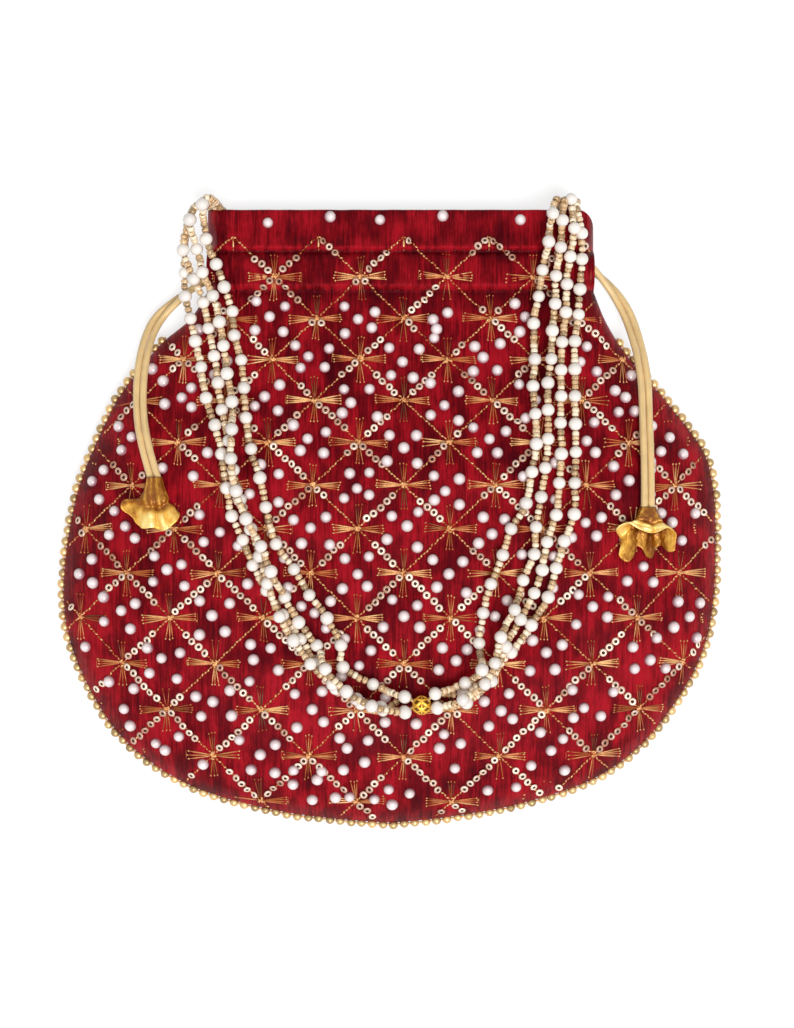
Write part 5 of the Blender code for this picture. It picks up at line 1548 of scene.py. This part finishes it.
def cord_end(route, side):
    """One free end of a drawcord: the pair's route moved half a pair aside."""
    flat = spline([p[:2] for p in route], ROUTE_STEPS) * MM
    run = unit(np.gradient(flat, axis=0))
    flat = flat + left_of(run) * side * CORD_PAIR / 2
    rest = draped_height(flat, CORD / 2, CORD_CLEARANCE)
    heights = [p[2] * MM for p in route if len(p) == 3]
    lands = len(heights) * ROUTE_STEPS
    knots = np.arange(len(heights) + 1) * ROUTE_STEPS
    steps = np.arange(len(flat))
    free = np.interp(steps, knots, [*heights, rest[lands]])
    return np.column_stack([flat, np.where(steps < lands, free, rest)])


def drawcord_path(mirror, route):
    """A whole drawcord: cap, front channel, round the far side, back channel, cap."""
    near, far = (NECK_LEFT, NECK_RIGHT) if mirror < 0 else (NECK_RIGHT, NECK_LEFT)
    lane = CHANNEL_Y + CORD_LANE * mirror
    turn_r = (FRONT_CHANNEL_Z - BACK_CHANNEL_Z) / 2
    turn_x = far + mirror * (turn_r + CORD / 2 + TURN_CLEARANCE)
    swing = np.radians(np.linspace(90, -90, 7))
    around = np.stack([turn_x - mirror * turn_r * np.cos(swing), np.full(7, lane),
                       CHANNEL_MIDDLE_Z + turn_r * np.sin(swing)], axis=1)
    inside_x, beyond = near - mirror * CORD_ENTRY, near - mirror * 1.0 * MM
    front = [(beyond, lane, FRONT_CHANNEL_Z), (inside_x, lane, FRONT_CHANNEL_Z)]
    back = [(inside_x, lane, BACK_CHANNEL_Z), (beyond, lane, BACK_CHANNEL_Z)]
    inner, outer = (1, -1) if mirror < 0 else (-1, 1)
    first = cord_end(route, inner)[ROUTE_STEPS // 2:][::-1][::4]
    last = cord_end(route, outer)[ROUTE_STEPS // 2::4]
    return spline(np.vstack([first, front, around, back, last]), 8), beyond


class POTLI_OT_drawcords(bpy.types.Operator):
    """The two satin drawcords: their free ends and the stretch held in the channels"""
    bl_idname = "potli.drawcords"
    bl_label = "Drawcords"

    def execute(self, context):
        finish = satin_cord()
        for mirror, name, route in ((-1, "left", LEFT_CORD_ROUTE), (1, "right", RIGHT_CORD_ROUTE)):
            path, beyond = drawcord_path(mirror, route)
            out = path[:, 0] * mirror > beyond * mirror - 0.1 * MM
            held = np.flatnonzero(~out)
            a, b = held[0], held[-1]
            ends = {"front": path[:a + 1][::-1], "back": path[b:]}
            self.cord(f"cord_{name}_held", path[a - 1:b + 2], finish, f"drawcord_{name}")
            for which, line in ends.items():
                line = np.vstack([line, line[-1] + unit(line[-1] - line[-2]) * 1.2 * MM])
                obj = self.cord(f"cord_{name}_{which}", line, finish, f"drawcord_{name}")
        return {"FINISHED"}

    def cord(self, name, path, finish, node):
        """A round cord with a slow swelling and eight shallow ribs that twist along it."""
        size = along(path)[-1]
        fine = at_distances(path, np.linspace(0, size, max(12, int(size / CORD_STEP))))
        fine = relaxed(fine, 5, 3)
        s = along(fine)[:, None]
        sides = 20
        a = 2 * math.pi * np.arange(sides)[None] / sides
        ripple = 1 + 0.025 * np.sin(CORD_RIBS * a + s / (2.2 * MM)) + 0.02 * np.sin(s / (3.7 * MM))
        points, quads, uv = tube(fine, SATIN / 2, sides, ripple)
        obj = piece(name, points, capped(len(fine), sides, quads), finish, "cord", uv=uv)
        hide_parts(node)
        return obj


class POTLI_OT_caps(bpy.types.Operator):
    """The gold tissue flowers at the cords' ends"""
    bl_idname = "potli.caps"
    bl_label = "Tissue flowers"

    def execute(self, context):
        finish = gold_tissue()
        self.flower("cap_left", LEFT_CORD_ROUTE, LEFT_CAP_AIM, LEFT_RIM, 8.5, 1.6, 0.16,
                    "tassel_left", finish, 2, (0.046, 0.0155))
        self.flower("cap_right", RIGHT_CORD_ROUTE, RIGHT_CAP_AIM, RIGHT_RIM, 4.6, 0.8, 0.6,
                    "tassel_right", finish, 6, (0.046, 0.0125))
        return {"FINISHED"}

    def flower(self, name, route, aim, rim, throat, dent, crush, node, finish, seed, flat):
        """A bell of cloth between three rings: an oval collar, a throat and a wavy rim.

        Each line down the bell is a quadratic curve of the three. A dent runs round where the
        rim turns out, and seeded creases grow from the collar to the rim.
        """
        rng = np.random.default_rng(seed)
        end = np.array(route[-1][:2]) * MM
        aim = unit(np.array(aim, float))
        level = draped_height(np.vstack([end, end + aim * 2 * MM]), CORD / 2, CORD_CLEARANCE)[0]
        closed = np.vstack([rim[-2:], rim, rim[:2]]) * MM
        curve = spline(closed, RIM_STEPS)[2 * RIM_STEPS:(len(rim) + 1) * RIM_STEPS]
        sides, rows = len(curve), FLOWER_ROWS
        u = np.arange(sides) / sides
        a = 2 * math.pi * u
        t = np.linspace(0, 1, rows)[:, None]
        collar = np.stack([2.8 * MM * np.cos(a), np.full(sides, -0.6 * MM),
                           2.0 * MM * np.sin(a)], axis=1)
        middle = np.stack([4.4 * MM * np.cos(a), np.full(sides, throat * MM),
                           (4.6 * np.sin(a) + 0.8) * MM], axis=1)
        t3 = t[..., None]
        shape = (1 - t3) ** 2 * collar + 2 * t3 * (1 - t3) * middle + t3 ** 2 * curve
        creases = sum(rng.uniform(0.4, 1) * np.cos(n * a + rng.uniform(0, 6) + rng.normal(0, 2) * t)
                      for n in (2, 3, 5, 8, 11)) / 2
        grow = 0.25 + 0.75 * smoothstep(t / 0.7)
        out = np.stack([np.cos(a), np.zeros(sides), np.sin(a)], axis=1)
        crumple = sum(np.abs(np.sin(n * a + m * math.pi * t + rng.uniform(0, 6)))
                      for n, m in ((2, 3.0), (3, -4.5), (5, 2.5), (4, 6.0))) / 2 - 1.3
        shape = shape + out * ((creases * 0.55 + crumple * crush) * grow * MM)[..., None]
        ring = np.exp(-((t - 0.60) / 0.07) ** 2) * (0.55 + 0.45 * np.sin(a))
        shape = shape - out * (ring * dent * MM)[..., None]
        across = left_of(aim) * math.copysign(1, -aim[1])
        place = end + aim * shape[..., 1:2] + across * shape[..., 0:1]
        ground = face_map(1).height(place[..., 0], place[..., 1])
        height = np.maximum(level + shape[..., 2], ground + 1.0 * MM + 0.2 * MM * creases)
        points = np.concatenate([place, height[..., None]], axis=-1).reshape(-1, 3)
        # Tone: a painted highlight on the front lip, painted shade in the lower hollow of the
        # throat, and painted light and shade along the creases.
        painted_lip_light = smoothstep((t - 0.62) / 0.12) * (0.5 + 0.5 * np.sin(a))
        hollow = np.exp(-((t - 0.5) / 0.16) ** 2) * np.clip(-np.sin(a), 0, 1)
        tone = 0.32 + 0.56 * painted_lip_light - 0.6 * hollow + 0.18 * creases + 0.3 * crush * crumple
        obj = piece(name, points, grid_quads(rows, sides, True), finish, "tissue", tone.ravel())
        wall = obj.modifiers.new("cloth", "SOLIDIFY")
        wall.thickness = TISSUE
        wall.offset = 0.0
        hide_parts(node)


# Stage.

class POTLI_OT_stage(bpy.types.Operator):
    """Camera, soft light and a pale floor"""
    bl_idname = "potli.stage"
    bl_label = "Stage"

    def execute(self, context):
        stage = context.scene.potli_stage
        view = bpy.data.cameras.new("view")
        view.lens = LENS
        view.sensor_fit = "VERTICAL"
        view.sensor_height = SENSOR
        view.clip_end = 20.0
        camera = bpy.data.objects.new("view", view)
        camera.location = (CAMERA_X, CAMERA_Y, CAMERA_Z)
        context.scene.collection.objects.link(camera)
        context.scene.camera = camera
        context.scene.view_settings.view_transform = "Standard"
        sun = bpy.data.lights.new("key", "SUN")
        sun.energy = stage.sun
        sun.angle = math.radians(KEY_ANGLE)
        key = bpy.data.objects.new("key", sun)
        key.rotation_euler = (math.radians(KEY_TILT), math.radians(KEY_ROLL), 0.0)
        context.scene.collection.objects.link(key)
        self.sky(context, stage)
        self.floor(context, stage)
        return {"FINISHED"}

    def seen(self, tree):
        """1 for camera, glossy and transmission rays."""
        rays = tree.nodes.new("ShaderNodeLightPath").outputs
        total = rays["Is Camera Ray"]
        for key in ("Is Glossy Ray", "Is Transmission Ray"):
            total = add_node(tree, "ShaderNodeMath", {0: total, 1: rays[key]},
                             operation="MAXIMUM").outputs[0]
        return total

    def sky(self, context, stage):
        """White to the eye and in reflections, and a plain fill light otherwise."""
        world = bpy.data.worlds.new("pale")
        world.use_nodes = True
        tree = world.node_tree
        background = tree.nodes["Background"]
        background.inputs["Color"].default_value = (1, 1, 1, 1)
        span = add_node(tree, "ShaderNodeMapRange",
                        {"Value": self.seen(tree), "To Min": stage.sky, "To Max": 1.0})
        tree.links.new(span.outputs[0], background.inputs["Strength"])
        context.scene.world = world

    def floor(self, context, stage):
        """A white floor that keeps the bag's soft shadow."""
        half = stage.floor_size / 2
        mesh = bpy.data.meshes.new("floor")
        corners = [(-half, -half, 0), (half, -half, 0), (half, half, 0), (-half, half, 0)]
        mesh.from_pydata(corners, [], [(0, 1, 2, 3)])
        obj = bpy.data.objects.new("floor", mesh)
        context.scene.collection.objects.link(obj)
        finish = bpy.data.materials.new("pale_floor")
        finish.use_nodes = True
        tree = finish.node_tree
        shader = tree.nodes["Principled BSDF"]
        shader.inputs["Base Color"].default_value = (FLOOR_BASE, FLOOR_BASE, FLOOR_BASE, 1)
        shader.inputs["Roughness"].default_value = 0.9
        shader.inputs["Specular IOR Level"].default_value = 0.0
        shader.inputs["Emission Color"].default_value = (1, 1, 1, 1)
        glow = add_node(tree, "ShaderNodeMath", {0: self.seen(tree), 1: FLOOR_GLOW},
                        operation="MULTIPLY")
        tree.links.new(glow.outputs[0], shader.inputs["Emission Strength"])
        mesh.materials.append(finish)


class POTLI_PT_panel(bpy.types.Panel):
    bl_label = "Potli Bag"
    bl_idname = "POTLI_PT_panel"
    bl_space_type = "VIEW_3D"
    bl_region_type = "UI"
    bl_category = "Potli Bag"

    def draw(self, context):
        layout = self.layout
        for group, names in GROUPS:
            box = layout.box()
            for key in group.__annotations__:
                box.prop(getattr(context.scene, names[0]), key)
            for operator in names[1:]:
                box.operator(operator)


GROUPS = (
    (PotliStage, ("potli_stage", "potli.stage")),
    (PotliCords, ("potli_cords", "potli.caps", "potli.drawcords")),
    (PotliBeads, ("potli_beads", "potli.handle", "potli.edging")),
    (PotliCloth, ("potli_cloth", "potli.panels", "potli.linings", "potli.stitching")),
    (PotliEmbroidery, ("potli_embroidery", "potli.embroidery")),
)
CLASSES = (
    PotliCloth, PotliEmbroidery, PotliBeads, PotliCords, PotliStage, POTLI_OT_stage, POTLI_OT_caps,
    POTLI_OT_drawcords, POTLI_OT_handle, POTLI_OT_edging, POTLI_OT_panels, POTLI_OT_linings,
    POTLI_OT_stitching, POTLI_OT_embroidery, POTLI_PT_panel,
)


def register():
    for cls in CLASSES:
        bpy.utils.register_class(cls)
    for group, names in GROUPS:
        setattr(bpy.types.Scene, names[0], bpy.props.PointerProperty(type=group))


def unregister():
    for _, names in GROUPS:
        delattr(bpy.types.Scene, names[0])
    for cls in reversed(CLASSES):
        bpy.utils.unregister_class(cls)


def main():
    register()
    for build in ("stage", "caps", "drawcords", "handle", "edging", "panels", "linings",
                  "stitching", "embroidery"):
        getattr(bpy.ops.potli, build)()


if __name__ == "__main__":
    main()
